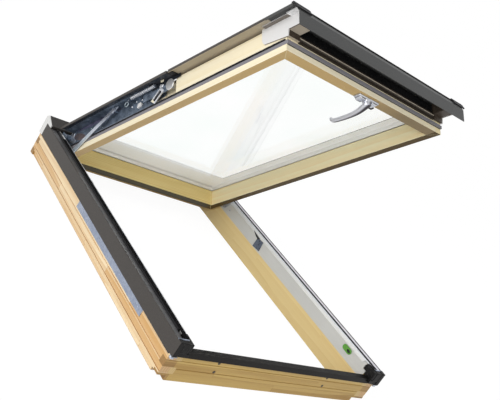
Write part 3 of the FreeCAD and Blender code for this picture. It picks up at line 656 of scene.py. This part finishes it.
def drawn(name, turn, colour, depth, gloss, metallic, bump=0.1, shade=None):
    """Rolled metal with lines along one direction, which may have painted shade on its lower faces."""
    material, tree, shader, source = blank_finish(name)
    place = add(tree, "ShaderNodeMapping", {"Vector": source["Object"], "Rotation": turn}).outputs[0]
    colour = tone(*colour)
    if shade:
        colour = mixed(tree, facing(tree, source, SHADE_WARD, 0.2, 0.65), colour, tone(*shade))
    values = {"Place": place, "Main": colour, "Line Depth": depth, "Gloss": gloss}
    dress(tree, shader, placed(tree, DRAWN, values), bump)
    shader.inputs["Metallic"].default_value = metallic
    return material


def zinc(name, pale, dark, flake, stain, metallic):
    """Zinc-coated steel."""
    material, tree, shader, source = blank_finish(name)
    values = {"Pale": tone(*pale), "Dark": tone(*dark), "Flake Size": flake, "Stain": stain}
    values["Place"] = source["Object"]
    dress(tree, shader, placed(tree, FLAKES, values), 0.12)
    shader.inputs["Metallic"].default_value = metallic
    return material


def clear_glass():
    """Window glass with the faintest of smears."""
    material, tree, shader, source = blank_finish("clear glass")
    smear = noise(tree, source["Object"], 5.0, 4.0)
    tint = ramp(tree, smear, [(0.3, tone(255, 255, 255)), (0.7, tone(252, 254, 253))])
    outputs = {"Colour": tint, "Roughness": times(tree, smear, 0.02), "Height": smear}
    dress(tree, shader, outputs, 0.01)
    shader.inputs["Transmission Weight"].default_value = 1.0
    shader.inputs["IOR"].default_value = 1.18
    return material


# Finishes

frame_pine_long = pine("frame pine up the slope", UP_FRAME, (tone(252, 230, 190), tone(216, 170, 108)),
                       0.007, 0.42, 1.0, 0.45, beyond=0.36)
frame_pine_wide = pine("frame pine across", ACROSS, (tone(214, 182, 106), tone(162, 122, 56)),
                       0.006, 0.6, 0.5, 0.25, end=0.352)

PALE_UNDERSIDE = (196, 184, 166)
COVER_WHITE = (228, 227, 226)
dark_sheet = painted("dark painted sheet", (62, 58, 55), 0.36)
edge_brown = painted("brown profile edge", PALE_UNDERSIDE, 0.4, 0.08)
# Painted shade in the hollow of the plug
plug_hollow_shade = painted("plug hollow", (10, 34, 6), 0.5, 0.05)
vent_black = painted("vent strip", (16, 16, 18), 0.5, 0.05)

black_rubber = coated("black rubber", (22, 22, 26), 0.45, peel=0.0008, specular=0.25)
matt_black = coated("matt black rubber", (14, 14, 16), 0.75, peel=0.0008, specular=0.05)
black_plastic = coated("black plastic", (16, 15, 16), 0.4, specular=0.16)
green_rubber = coated("green black rubber", (52, 56, 50), 0.5)
green_plastic = coated("green plastic", (96, 160, 62), 0.25, 0.04, dust=0.02)
white_plastic = clean_plastic("white plastic", COVER_WHITE, 0.35, 0.015)
# Brighter copy of the white plastic: painted light on the corner clips
lit_clip_white = clean_plastic("clip white with painted light", (255, 255, 255), 0.3, 0.01)
cream_plastic = clean_plastic("cream plastic", (240, 232, 206), 0.4, 0.02)
# Light band round the glass: the edge strip of the sealed unit and painted reflection, whitest on its room
# side
edge_coat_and_reflection = clean_plastic("glass edge coat and painted reflection", (196, 198, 198), 0.3, 0.01, underside=(255, 255, 255))
glass = clear_glass()

galvanised = zinc("galvanised strip", (168, 177, 194), (126, 137, 160), 0.005, 0.5, 0.55)
bracket_steel = zinc("bracket steel", (98, 106, 120), (66, 74, 90), 0.004, 0.5, 0.6)
arm_steel = zinc("arm steel", (138, 152, 170), (68, 80, 94), 0.012, 0.9, 0.4)
dark_steel = zinc("dark steel", (58, 64, 74), (30, 33, 40), 0.006, 0.6, 0.4)
bright_steel = zinc("bright steel", (214, 219, 228), (150, 158, 174), 0.002, 0.3, 0.85)
pale_steel = zinc("pale steel", (196, 208, 214), (150, 166, 172), 0.002, 0.2, 0.6)
blue_steel = zinc("blue steel", (176, 186, 212), (128, 138, 166), 0.004, 0.5, 0.4)
violet_steel = zinc("violet steel", (126, 122, 150), (84, 84, 110), 0.006, 0.7, 0.4)
brown_steel = zinc("brown steel", (140, 122, 116), (84, 84, 94), 0.01, 0.8, 0.4)
white_zinc = zinc("white zinc", (240, 242, 246), (200, 204, 212), 0.002, 0.2, 0.5)
screw_dark = zinc("dark screw", (86, 78, 66), (30, 26, 22), 0.002, 0.5, 0.6)

profile_metal = drawn("light profile metal", UP_FRAME, (204, 204, 200), 0.12, 0.34, 0.35)
pale_metal = drawn("pale profile edge", UP_FRAME, (240, 240, 238), 0.06, 0.3, 0.3)
chrome = drawn("satin chrome", DOWN_SASH, (196, 198, 204), 0.08, 0.16, 0.95, 0.05)
# Lever chrome with painted shade on its lower faces
lever_chrome = drawn("lever chrome with painted shade", DOWN_SASH, (200, 201, 208), 0.08, 0.24, 0.8, 0.05, (58, 54, 58))

FINISHES = {
    "frame_sill_rail": frame_pine_wide,
    "frame_head_rail": frame_pine_wide,
    # The sash pines carry painted light and painted shade by the way their faces turn
    "sash_top_rail": mitred_pine("top rail pine", TOP_RAIL_PINE, TOP_RAIL_PINE, SHADED_PINE, 0.15),
    "sash_bottom_rail": mitred_pine("bottom rail pine", SASH_PINE, LIT_SASH_PINE, ROOM_SHADE_PINE, 0.6, 0.75),
    "sill_cladding": painted("sill sheet", (14, 12, 11), 0.4, specular=0.14),
    "head_cover": painted("hood sheet", (42, 39, 37), 0.36, specular=0.25),
    "sash_flap": painted("grey painted sheet", (66, 67, 67), 0.36, 0.03, 0.0022, bump=0.2),
    "sash_top_cladding": dark_sheet,
    "sash_bottom_profile": painted("brown rib metal", (50, 42, 33), 0.4),
    "sash_gasket": coated("grey seal rubber", (134, 132, 138), 0.5, 0.04),
    "inner_pane": glass,
    "outer_pane": glass,
    "glass_spacer": drawn("spacer metal", ACROSS, (250, 249, 248), 0.04, 0.3, 1.0, 0.05),
    "handle_base": chrome,
    "handle_lever": chrome,
    # One grey for both ridge sheets: painted shade darkens the left one, painted light and reflection
    # lighten the right one
    "left_ridge_sheet": painted("left ridge grey in painted shade", (104, 104, 106), 0.3, 0.04),
    "right_ridge_sheet": painted("right ridge grey with painted light", (240, 238, 246), 0.3, 0.05, metallic=0.3),
    "left_sash_stile": mitred_pine("sash pine", SASH_PINE, LIT_SASH_PINE, ROOM_SHADE_PINE),
    "right_sash_stile": mitred_pine("right stile pine", SASH_PINE, LIT_RIGHT_STILE_PINE, DEEP_ROOM_SHADE_PINE, 0.15),
    "left_profile_end": painted("brown end plastic", (58, 48, 40), 0.4, 0.08, underside=PALE_UNDERSIDE),
    "right_profile_end": painted("dark brown end plastic", (72, 62, 52), 0.4, 0.08),
}
SIDE_FINISHES = {
    "frame_stile": frame_pine_long,
    "inner_profile": profile_metal,
    "groove_gasket": black_rubber,
    "side_cladding": dark_sheet,
    "fixing_strip": galvanised,
    "head_end_plate": painted("light end plate metal", (232, 232, 230), 0.32, 0.02, dust=0.02, metallic=0.3),
    "hinge_bracket": arm_steel,
    "guide_bracket": bracket_steel,
    "spring_cover": profile_metal,
    "lock_plug": green_plastic,
    "hinge_arm": arm_steel,
    "arm_cladding": painted("arm sheet", (66, 61, 57), 0.34, underside=(52, 54, 60)),
    "pivot_disc": drawn("disc metal", DOWN_SASH, (214, 214, 214), 0.2, 0.28, 0.7),
    "arm_lever": bright_steel,
    "strut": bright_steel,
    "sash_cladding": painted("sash sheet", (66, 61, 57), 0.34, underside=(188, 176, 154)),
    "corner_cap": black_plastic,
    # Painted shade on the room side of the white corner covers
    "corner_cover": clean_plastic("cover plastic with painted shade below", COVER_WHITE, 0.35, 0.015, underside=(128, 120, 112)),
    "bumper": black_rubber,
}
for part, finish in SIDE_FINISHES.items():
    FINISHES["left_" + part] = finish
    FINISHES["right_" + part] = finish
for node_name, finish in FINISHES.items():
    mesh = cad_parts[node_name].data
    mesh.materials.clear()
    mesh.materials.append(finish)


# Pieces on both sides


def arm_spring(side, sign):
    """Coil spring on its rod, with a hook and a ring, in the open channel of an arm."""
    on = Maker(side, sign, on_sash, "arms")
    on.rod("arm_spring", helix(SPRING_X, 382, 492, SPRING_N, 4.2, 24), 1, white_zinc)
    on.rod("spring_rod", [(SPRING_X, s, SPRING_N) for s in (372, 498)], 1.3, bracket_steel)
    hook = [(SPRING_X, 372, SPRING_N), (343.5, 366, 1.2), (340, 361, 0), (338.5, 358, -1)]
    on.rod("spring_hook", hook, 1.3, bright_steel)
    loop = [(338, 351 + 8.5 * cosine, -5 + 7 * sine - 0.3 * cosine) for cosine, sine in around(24)]
    on.rod("spring_ring", loop + loop[:1], 1.4, pale_steel)
    stay = [(ARM_WEB, 351, -5), (336, 351, -5), (337.5, 351, -9.5)]
    on.rod("ring_stay", stay, 1.2, bracket_steel)
    on.strip("spring_end", box_outline(340, 350, -2, 7), 492, 494.5, bright_steel, 0.5)


def arm_web_parts(side, sign):
    """Slider, rivets, stiffening folds, hinge fork and rings on the web of an arm."""
    on = Maker(side, sign, on_sash, "arms")
    behind = ARM_WEB - 0.5
    slider = [(386, -22), (391, -27), (404, -24), (408, -17), (403, -10), (392, -11)]
    on.plate("slider", slider, ARM_WEB, ARM_WEB + 6, white_plastic, 1)
    spots = ((437, -2), (418, -10), (377, 2), (356, -8.5), (404, -2))
    on.rivets("arm_rivet", ARM_WEB, spots, 2.9, 2.6, white_zinc)
    rib = [(20, -43), (446, -43), (446, -40), (300, -34), (90, -34), (30, -38)]
    on.plate("arm_rib", rib, behind, ARM_WEB + 1, blue_steel, 0.5)
    gusset = [(30, -14), (70, -30), (122, -36), (96, -14), (60, -2)]
    on.plate("arm_gusset", gusset, behind, ARM_WEB + 0.6, brown_steel, 0.4)
    fork = [(12, 0), (34, 6), (50, 2), (42, -12), (58, -26), (46, -36), (24, -22)]
    on.plate("hinge_fork", fork, ARM_WEB, ARM_WEB + 2.4, bright_steel, 0.8)
    spots = ((142, -12), (206, -27), (258, 3))
    on.rivets("web_rivet", ARM_WEB, spots, 2.2, 1.8, pale_steel)
    fold = [(140, -4), (300, 4.5), (300, 6.5), (60, 6.5), (60, 3)]
    on.plate("flange_fold", fold, behind, ARM_WEB + 0.8, violet_steel)
    ring = [(7.9, 0), (13.5, 0), (13.5, 2), (12.5, 3), (7.9, 3)]
    on.disc("pivot_ring", ring, (ARM_WEB, *SASH_PIVOT), bracket_steel, 28)
    washer = [(4, 0), (9, 0), (9, 1.2), (5.5, 2.2), (4, 2.2)]
    on.disc("strut_washer", washer, (339.5, *STRUT_PIVOT), bright_steel)


def arm_catch(side, sign):
    """Bright slotted catch lever, a black plate of painted shadow behind its slot, the pale pieces beside it
    and the dark shroud behind.
    """
    on = Maker(side, sign, on_sash, "arms")
    outer = [(469.5, -36.5), (512, -5.9), (528, -20.4), (487, -49)]
    inner = [(477.9, -35.7), (508.3, -13.9), (518.1, -23), (488.3, -43)]
    plate = open_prism(side + "_catch_lever", outer, inner, 0, 336, 338.5, on.place, white_zinc, on.body)
    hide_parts(side + "_arm_lever")
    # Black plate of painted shadow behind the catch lever's slot
    slot_shadow = [(476, -35.6), (509, -12.4), (520, -23), (488, -44.6)]
    on.plate("catch_slot_shadow", slot_shadow, 335, 336.2, black_rubber)
    block = [(471, -37), (478, -32.5), (487, -42.5), (482, -45.5)]
    on.plate("catch_block", block, 336.2, 339.6, cream_plastic, 0.8)
    wedge = [(468, -36), (480, -29.5), (514, -30), (512, -34), (492, -39)]
    on.plate("catch_wedge", wedge, ARM_WEB - 0.4, ARM_WEB + 1.2, cream_plastic, 0.4)
    shroud = [(472, -6), (560, -5), (598, -2), (598, 8.9), (472, 8.9)]
    on.plate("arm_shroud", shroud, 336.6, 337.6, dark_steel, 0.2)
    knob = [(508, -6), (512, 2), (526, -2), (522, -10)]
    on.plate("catch_knob", knob, 336.8, 340, white_zinc, 1)
    tab = [(520, 3), (532, 2), (532, 9), (520, 9)]
    on.plate("shroud_tab", tab, 343, 346, cream_plastic, 0.8)


def arm_strips(side, sign):
    """Dark liner under an arm's cladding and the rubber strip where it meets the sash cladding."""
    on = Maker(side, sign, on_sash, "arms")
    on.strip("arm_liner", box_outline(350.3, 366.2, 8.2, 9), 38, 584, dark_steel, 0.1)
    seal = [(566, 7), (588, 6.4), (588, 8), (566, 8.9)]
    on.plate("cladding_seal", seal, 338, 366, black_rubber)


def along_strut(outline):
    """Outline given along and across a strut, leaning as the strut does on the sash."""
    points = []
    for along, across in outline:
        s = STRUT_PIVOT[0] - along * math.cos(STRUT_LEAN) + across * math.sin(STRUT_LEAN)
        n = STRUT_PIVOT[1] - along * math.sin(STRUT_LEAN) - across * math.cos(STRUT_LEAN)
        points.append((s, n))
    return points


def strut_trim(side, sign):
    """Bar on the lower half of a strut, a strip of painted highlight and a strip of painted shadow along its
    edges, and its pointed end.
    """
    on = Maker(side, sign, on_sash, side + "_strut")
    bar = along_strut(box_outline(120, 238, -3, 3))
    on.plate("strut_bar", bar, 338.6, 340, pale_steel, 0.4)
    # Painted highlight along one edge of the strut and painted shadow along the other
    edges = (("strut_shine", -7, -4.6, white_zinc), ("strut_shade", 4.4, 7, dark_steel))
    for name, low, high, finish in edges:
        edge = along_strut(box_outline(2, 236, low, high))
        on.plate(name, edge, 337.9, 338.7, finish, 0.2)
    tip = [(-23.5, 2), (-21, -1.5), (-4, -6.5), (6, -7), (6, 7), (-4, 6.5)]
    on.plate("strut_tip", along_strut(tip), 335.2, 338.2, bright_steel, 0.4)


def corner_cap(side, sign):
    """Black cap on the lower end of a stile: an outer and an inner block, a thin strip of painted highlight
    along its top edge and a nub.
    """
    on = Maker(side, sign, on_frame, "frame")
    outer = [(0, 80), (1.5, 78), (18, 78), (18, 121), (1.5, 121), (0, 119.5)]
    block = on.plate("cap_outer", outer, 376.4, 389, black_plastic, 1.2)
    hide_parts(side + "_corner_cap")
    on.plate("cap_cheek", box_outline(0.6, 18.4, 79.4, 120.8), 388.4, 390, dark_sheet, 0.4)
    inner = [(0.6, 92.5), (2.6, 90.5), (18, 90.5), (18, 120), (2, 120), (0.6, 118.6)]
    on.plate("cap_inner", inner, 354, 375.6, black_plastic, 1.2)
    tail = [(2, 90), (40, 90), (44, 94), (46, 115), (43, 118.6), (2, 118.6)]
    on.plate("cap_tail", tail, 345.6, 361, black_plastic, 1)
    on.plate("cap_foot", box_outline(2, 16, 80, 94), 344, 377, black_plastic, 0.6)
    on.plate("cap_web", box_outline(2, 17, 92, 118), 374.5, 377.5, black_plastic)
    # Thin bright strip: painted highlight along the cap's top edge
    edge = [(14, 120.6), (18.4, 120.6), (18.4, 121), (17.4, 121), (14, 121)]
    on.plate("cap_highlight", edge, 356, 389, galvanised, 0.1)
    nub = [(1.9, 0), (1.9, 4.8), (1.4, 5.8), (0.6, 6.2)]
    on.disc("cap_nub", nub, (357, 26, 116), black_plastic, 16, 2)


def cap_steel(side, sign):
    """Small bent steel ends that show under a corner cap."""
    on = Maker(side, sign, on_frame, "frame")
    end = [(4, 70), (12.5, 70), (12.5, 77.6), (8, 77.6), (6.5, 74), (4, 73)]
    on.plate("cap_steel", end, 378, 387.5, bright_steel, 0.4)
    bent = [(1.5, 76.5), (12.5, 76.5), (12.5, 77.8), (1.5, 77.8)]
    on.plate("cap_tab", bent, 371, 388, bright_steel)


def plug(side, sign):
    """Oval plug on the inner profile, its slotted hollow as a flat dark patch of painted shade, and raised
    rim.
    """
    on = Maker(side, sign, on_frame, "frame")
    face = []
    for cosine, sine in around(28):
        reach = 10.5 if cosine >= 0 else -10.5
        face.append((PLUG_V + reach + 9 * cosine, PLUG_Z + 9 * sine))
    body = on.plate("plug_face", face, 339.8, 343, green_plastic, 0.5)
    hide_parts(side + "_lock_plug")
    hollow = [(PLUG_V - 9.5 + 8.5 * cosine, PLUG_Z + 5.4 * sine) for cosine, sine in around(20)]
    # Flat dark patch of painted shade standing for the hollow
    on.plate("plug_hollow", hollow, 339.5, 340, plug_hollow_shade, 0.1)
    edge = [(339.6, v, z) for v, z in hollow]
    on.rod("plug_rim", edge + edge[:1], 0.5, green_plastic)


def stile_fixings(side, sign):
    """Rivets, nails, small screws, a black triangle of painted shadow by a bracket and a catch on a stile.
    """
    on = Maker(side, sign, on_frame, "frame")
    spots = [(v, 110) for v in (236, 560, 900)]
    on.rivets("cladding_rivet", CLADDING_FACE, spots, 1.7, 0.8, bracket_steel)
    spots = [(v, 64) for v in (200, 330, 460, 590, 650)]
    on.rivets("strip_nail", STRIP_FACE, spots, 2.2, 0.9, galvanised)
    on.screw_inward("bracket_screw", 683, 93, 4.4, bracket_steel)
    on.screw_inward("profile_screw", 904, 92, 3.2, bright_steel)
    # Black triangle of painted shadow beside the bracket
    triangle = [(690, 112.5), (741, 115.5), (716, 106.5), (700, 104)]
    on.plate("bracket_shade", triangle, SCREW_SEAT, SCREW_SEAT + 1.2, black_rubber, 0.2)
    catch = [(154, 112), (176, 112), (176, 116.5), (171, 118), (159, 118), (154, 116)]
    on.plate("lip_catch", catch, 349.5, 352.3, white_plastic, 0.4)


def stile_lines(side, sign):
    """Fine lines beside the groove: the bright edge of the profile, the rubber flap and a white lip."""
    on = Maker(side, sign, on_frame, "frame")
    bead = [(341.9, 112.3), (350.6, 118.1), (354.6, 118.1), (354.6, 119), (350.2, 119.2), (341.3, 113.2)]
    on.strip("profile_bead", bead, 60, 1010, pale_metal, 0.2)
    flap = [(355.4, 121), (355.4, 122.4), (366.4, 121.2), (366.4, 120.2)]
    on.strip("groove_flap", flap, 19, 974, matt_black, 0.2)
    lip = [(350.6, 119), (355.2, 119), (355.2, 121.4), (354.6, 121.6), (350.6, 120.8)]
    on.strip("profile_edge", lip, 44, 976, white_zinc, 0.2)


def hinge_trim(side, sign):
    """Pin head and stop of the hinge at the head of a stile."""
    on = Maker(side, sign, on_frame, "frame")
    head = [(9.5, 0), (9.5, -1.5), (7, -2.8), (3, -3.2)]
    on.disc("hinge_pin_head", head, (340, *FRAME_HINGE), bright_steel)
    stop = [(998, 80), (1031, 80), (1031, 84), (1002, 84), (1002, 100), (998, 100)]
    on.plate("hinge_stop", stop, 340.5, 341.8, arm_steel)


def sash_side_trim(side, sign):
    """Folded clip at a corner cover, a thin bead on a sash stile and the glazing bead beside the glass."""
    on = Maker(side, sign, on_sash, "sash")
    clip = [(1003, 8.8), (1041, 8.8), (1038, 3.5), (1034, 5.6), (1010, 5.6), (1006, 3.5)]
    on.plate("corner_clip", clip, 336, 353, lit_clip_white, 0.5)
    bead = [(332.8, -50.6), (336.4, -50.2), (336.4, -47), (332.8, -46.6)]
    on.strip("timber_bead", bead, -10, 984, black_rubber, 0.2)
    on.strip("outer_bead", bead_section(BEAD_REACH, -1), BEAD_TOP, BEAD_BOTTOM, black_rubber, 0.2)


def bead_section(edge, step):
    """Section of the rubber bead round the glass, which narrows towards the glass."""
    return [(edge, 2), (edge, 4.6), (edge + 1.8 * step, 3.8), (edge + 2.6 * step, 2)]


ARM_PARTS = (arm_spring, arm_web_parts, arm_catch, arm_strips, strut_trim)
FRAME_PARTS = (corner_cap, cap_steel, plug, stile_fixings, stile_lines, hinge_trim)
for side, sign in SIDES:
    for make_parts in (*ARM_PARTS, *FRAME_PARTS, sash_side_trim):
        make_parts(side, sign)


# Pieces of the sash edge, the sill and the handle


def glass_edges():
    """Beads above and below the glass, and a light band round the glass: the edge strip of the sealed glass
    unit, widened with painted reflection.
    """
    for end, s, step in (("top", BEAD_TOP, 1), ("bottom", BEAD_BOTTOM, -1)):
        section = bead_section(s, step)
        prism(end + "_outer_bead", section, 0, -BEAD_REACH, BEAD_REACH, on_sash, black_rubber, "sash", 0.2)
    # Light band: partly the edge strip, partly painted reflection in the glass
    outer = box_outline(-304.6, 304.6, 18, 950)
    inner = box_outline(-272, 272, 112, 926)
    open_prism("glass_border", outer, inner, 2, -3.2, -2.3, on_sash, edge_coat_and_reflection, "sash")


def cross_strip(name, section, reach, finish):
    """Strip across the whole sash."""
    prism(name, section, 0, -reach, reach, on_sash, finish, "sash", 0.2)


def bottom_strips():
    """Ribbed seal of the bottom rail, dark strip under the flap's fold and pale edge of the profile."""
    seal = [(987, -62), (989, -61), (988, -58.5), (990, -56.5), (988, -54), (989.5, -51)]
    cross_strip("bottom_seal", seal + [(987, -49)], 331, green_rubber)
    under_fold = [(1040.6, 10.6), (1042.2, 10.4), (1046.4, 2.6), (1045.4, 1.8)]
    cross_strip("flap_strip", under_fold, 359, matt_black)
    pale_edge = [(992.4, -32.2), (993.4, -31.4), (993.4, -29.6), (992.4, -29)]
    cross_strip("profile_edge", pale_edge, 293.5, edge_brown)


def vent_fins():
    """Fine upright fins of the dark vent strip over the ribbed profile."""
    count = 150
    reach = 290
    root = 989
    tip = 990.6
    pitch = 2 * reach / count
    outline = [(-reach, 988.4)]
    for k in range(count):
        x = -reach + k * pitch
        for share, s in ((0, tip), (0.45, tip), (0.5, root), (0.95, root)):
            outline.append((x + share * pitch, s))
    outline.append((reach, 988.4))
    prism("vent_fins", outline, 2, -21, 1, on_sash, vent_black, "sash", 0)


def sill_screws():
    """Countersunk screws in the face of the sill rail."""
    bowl = [(4.2, -0.3), (2.6, 0.6), (1.2, 0.9)]
    for k, (x, z) in enumerate(((-228, 69.3), (-227, 41.5), (178, 70.2), (180, 41.7))):
        turned(f"sill_screw_{k}", bowl, (x, 14, z), 1, on_frame, screw_dark, "frame", 16)


def squared(number):
    """A sine or cosine pushed outwards, so that a round turns into a rounded square."""
    return math.copysign(abs(number) ** 0.8, number)


def lever_ring(centre_s, centre_n, along_s, along_n, width, thick):
    """Rounded cross-section of the lever, square to its path."""
    length = math.hypot(along_s, along_n)
    side_s = -along_n / length
    side_n = along_s / length
    ring = []
    for cosine, sine in around(18):
        wide = squared(cosine) * width / 2
        deep = squared(sine) * thick / 2
        ring.append(on_sash(wide, centre_s + side_s * deep, centre_n + side_n * deep))
    return ring


def window_lever():
    """Curved lever with a hooked tip, from places down its middle with a width and a thickness."""
    path = [
        (979, -95, 15, 9),
        (973, -95.5, 21, 13),
        (963, -97, 22, 16),
        (952, -101, 20, 16.5),
        (940, -105, 17.5, 15),
        (924, -107, 16, 13.5),
        (902, -107.4, 15, 13),
        (880, -106.4, 14.5, 12.6),
        (862, -105, 14, 12),
        (854, -103.6, 13.5, 11.6),
        (849.6, -100.8, 13, 10.8),
        (847.6, -97, 12.4, 9.4),
        (847, -92.6, 11, 6.6),
    ]
    rings = []
    for k, (s, n, width, thick) in enumerate(path):
        before = path[max(k - 1, 0)]
        after = path[min(k + 1, len(path) - 1)]
        rings.append(lever_ring(s, n, after[0] - before[0], after[1] - before[1], width, thick))
    lever = shown("window_lever", solid_mesh("window_lever", rings), lever_chrome, "handle", 0, 60)
    smooth = lever.modifiers.new("smooth", "SUBSURF")
    smooth.levels = 2
    smooth.render_levels = 2
    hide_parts("handle_lever")


def handle_base_parts():
    """Hub of the lever, raised blocks and screws of the rosette, and the dark clip under it."""
    hub = [(10.75, -83.9), (11.375, -85), (11.375, -97), (10, -99.4), (5, -100.6), (1.5, -100.8)]
    turned("lever_hub", hub, (0, HANDLE_S, 0), 2, on_sash, lever_chrome, "handle", 32)
    clip = [(960, -88), (950, -88), (946, -84.4), (946, -80), (956, -80), (960, -84)]
    prism("handle_clip", clip, 0, 26, 44, on_sash, black_plastic, "sash", 0.6)
    raised = [(13.5, -83.8), (13.5, -87), (15.5, -89.6), (32, -89.6), (37, -86.5), (37, -83.8)]
    for side, sign in SIDES:
        Maker(side, sign, on_sash, "sash").strip("rosette_block", raised, 957.5, 978.5, chrome, 1.6)
    head = [(4, -89.4), (3.8, -90.4), (2.2, -91), (1, -91.1)]
    for k, x in enumerate((-25, 25)):
        turned(f"rosette_screw_{k}", head, (x, HANDLE_S, 0), 2, on_sash, bright_steel, "sash", 16)


glass_edges()
bottom_strips()
vent_fins()
sill_screws()
window_lever()
handle_base_parts()


# Camera, light and floor

camera_data = bpy.data.cameras.new("camera")
camera_data.lens = 54.95
camera_data.sensor_width = 36.0
camera = linked("camera", camera_data)
right = Vector((0.70996, -0.46812, 0.52614))
up = Vector((-0.24399, 0.53733, 0.80730))
back = Vector((-0.66063, -0.70153, 0.26727))
turn = Matrix((right, up, back)).transposed().to_4x4()
camera_place = (-1.4968, -1.6539, 0.9245)
camera.matrix_world = Matrix.Translation(camera_place) @ turn
bpy.context.scene.camera = camera
bpy.context.scene.view_settings.view_transform = "Standard"


def seen_directly(tree):
    """1 for a camera, glossy or transmission ray, 0 for a ray that lights the object."""
    rays = add(tree, "ShaderNodeLightPath").outputs
    either = calc(tree, "MAXIMUM", rays["Is Camera Ray"], rays["Is Glossy Ray"])
    return calc(tree, "MAXIMUM", either, rays["Is Transmission Ray"])


def lamp(name, place, target, size, power):
    """Soft square light aimed at a place."""
    data = bpy.data.lights.new(name, "AREA")
    data.size = size
    data.energy = power
    aim = (Vector(target) - Vector(place)).to_track_quat("-Z", "Y")
    linked(name, data).matrix_world = Matrix.Translation(place) @ aim.to_matrix().to_4x4()


WHITE = (1.0, 1.0, 1.0, 1.0)
world = bpy.data.worlds.new("studio")
bpy.context.scene.world = world
world.use_nodes = True
sky = world.node_tree
sky.nodes["Background"].inputs["Color"].default_value = WHITE
lighting_strength = 0.55
seen_strength = 1.0
strengths = {0: seen_directly(sky), 2: lighting_strength, 3: seen_strength}
strength = add(sky, "ShaderNodeMix", strengths, data_type="FLOAT").outputs[0]
sky.links.new(strength, sky.nodes["Background"].inputs["Strength"])

lamp("side light", (-3.2, -0.9, 1.3), (0.0, -0.1, 0.35), 2.2, 62.0)
lamp("front light", (-0.4, -3.4, 1.0), (0.0, 0.0, 0.4), 2.4, 22.0)

floor_half = 8.0
floor_depth = 0.01
floor_corners = box_outline(-floor_half, floor_half, -floor_half, floor_half)
floor_mesh = solid_mesh("floor", [[(x, y, z) for x, y in floor_corners] for z in (-floor_depth, 0.0)])
floor = linked("floor", floor_mesh)
floor_finish = bpy.data.materials.new("pale floor")
floor_finish.use_nodes = True
ground = floor_finish.node_tree
ground.nodes.remove(ground.nodes["Principled BSDF"])
glow_strength = 1.18
glow_share = 0.8
matt = add(ground, "ShaderNodeBsdfDiffuse", {"Color": (0.5, 0.5, 0.5, 1.0)})
glow = add(ground, "ShaderNodeEmission", {"Color": WHITE, "Strength": glow_strength})
share = times(ground, seen_directly(ground), glow_share)
blend = add(ground, "ShaderNodeMixShader", {0: share, 1: matt.outputs[0], 2: glow.outputs[0]})
ground.links.new(blend.outputs[0], ground.nodes["Material Output"].inputs["Surface"])
floor_mesh.materials.append(floor_finish)
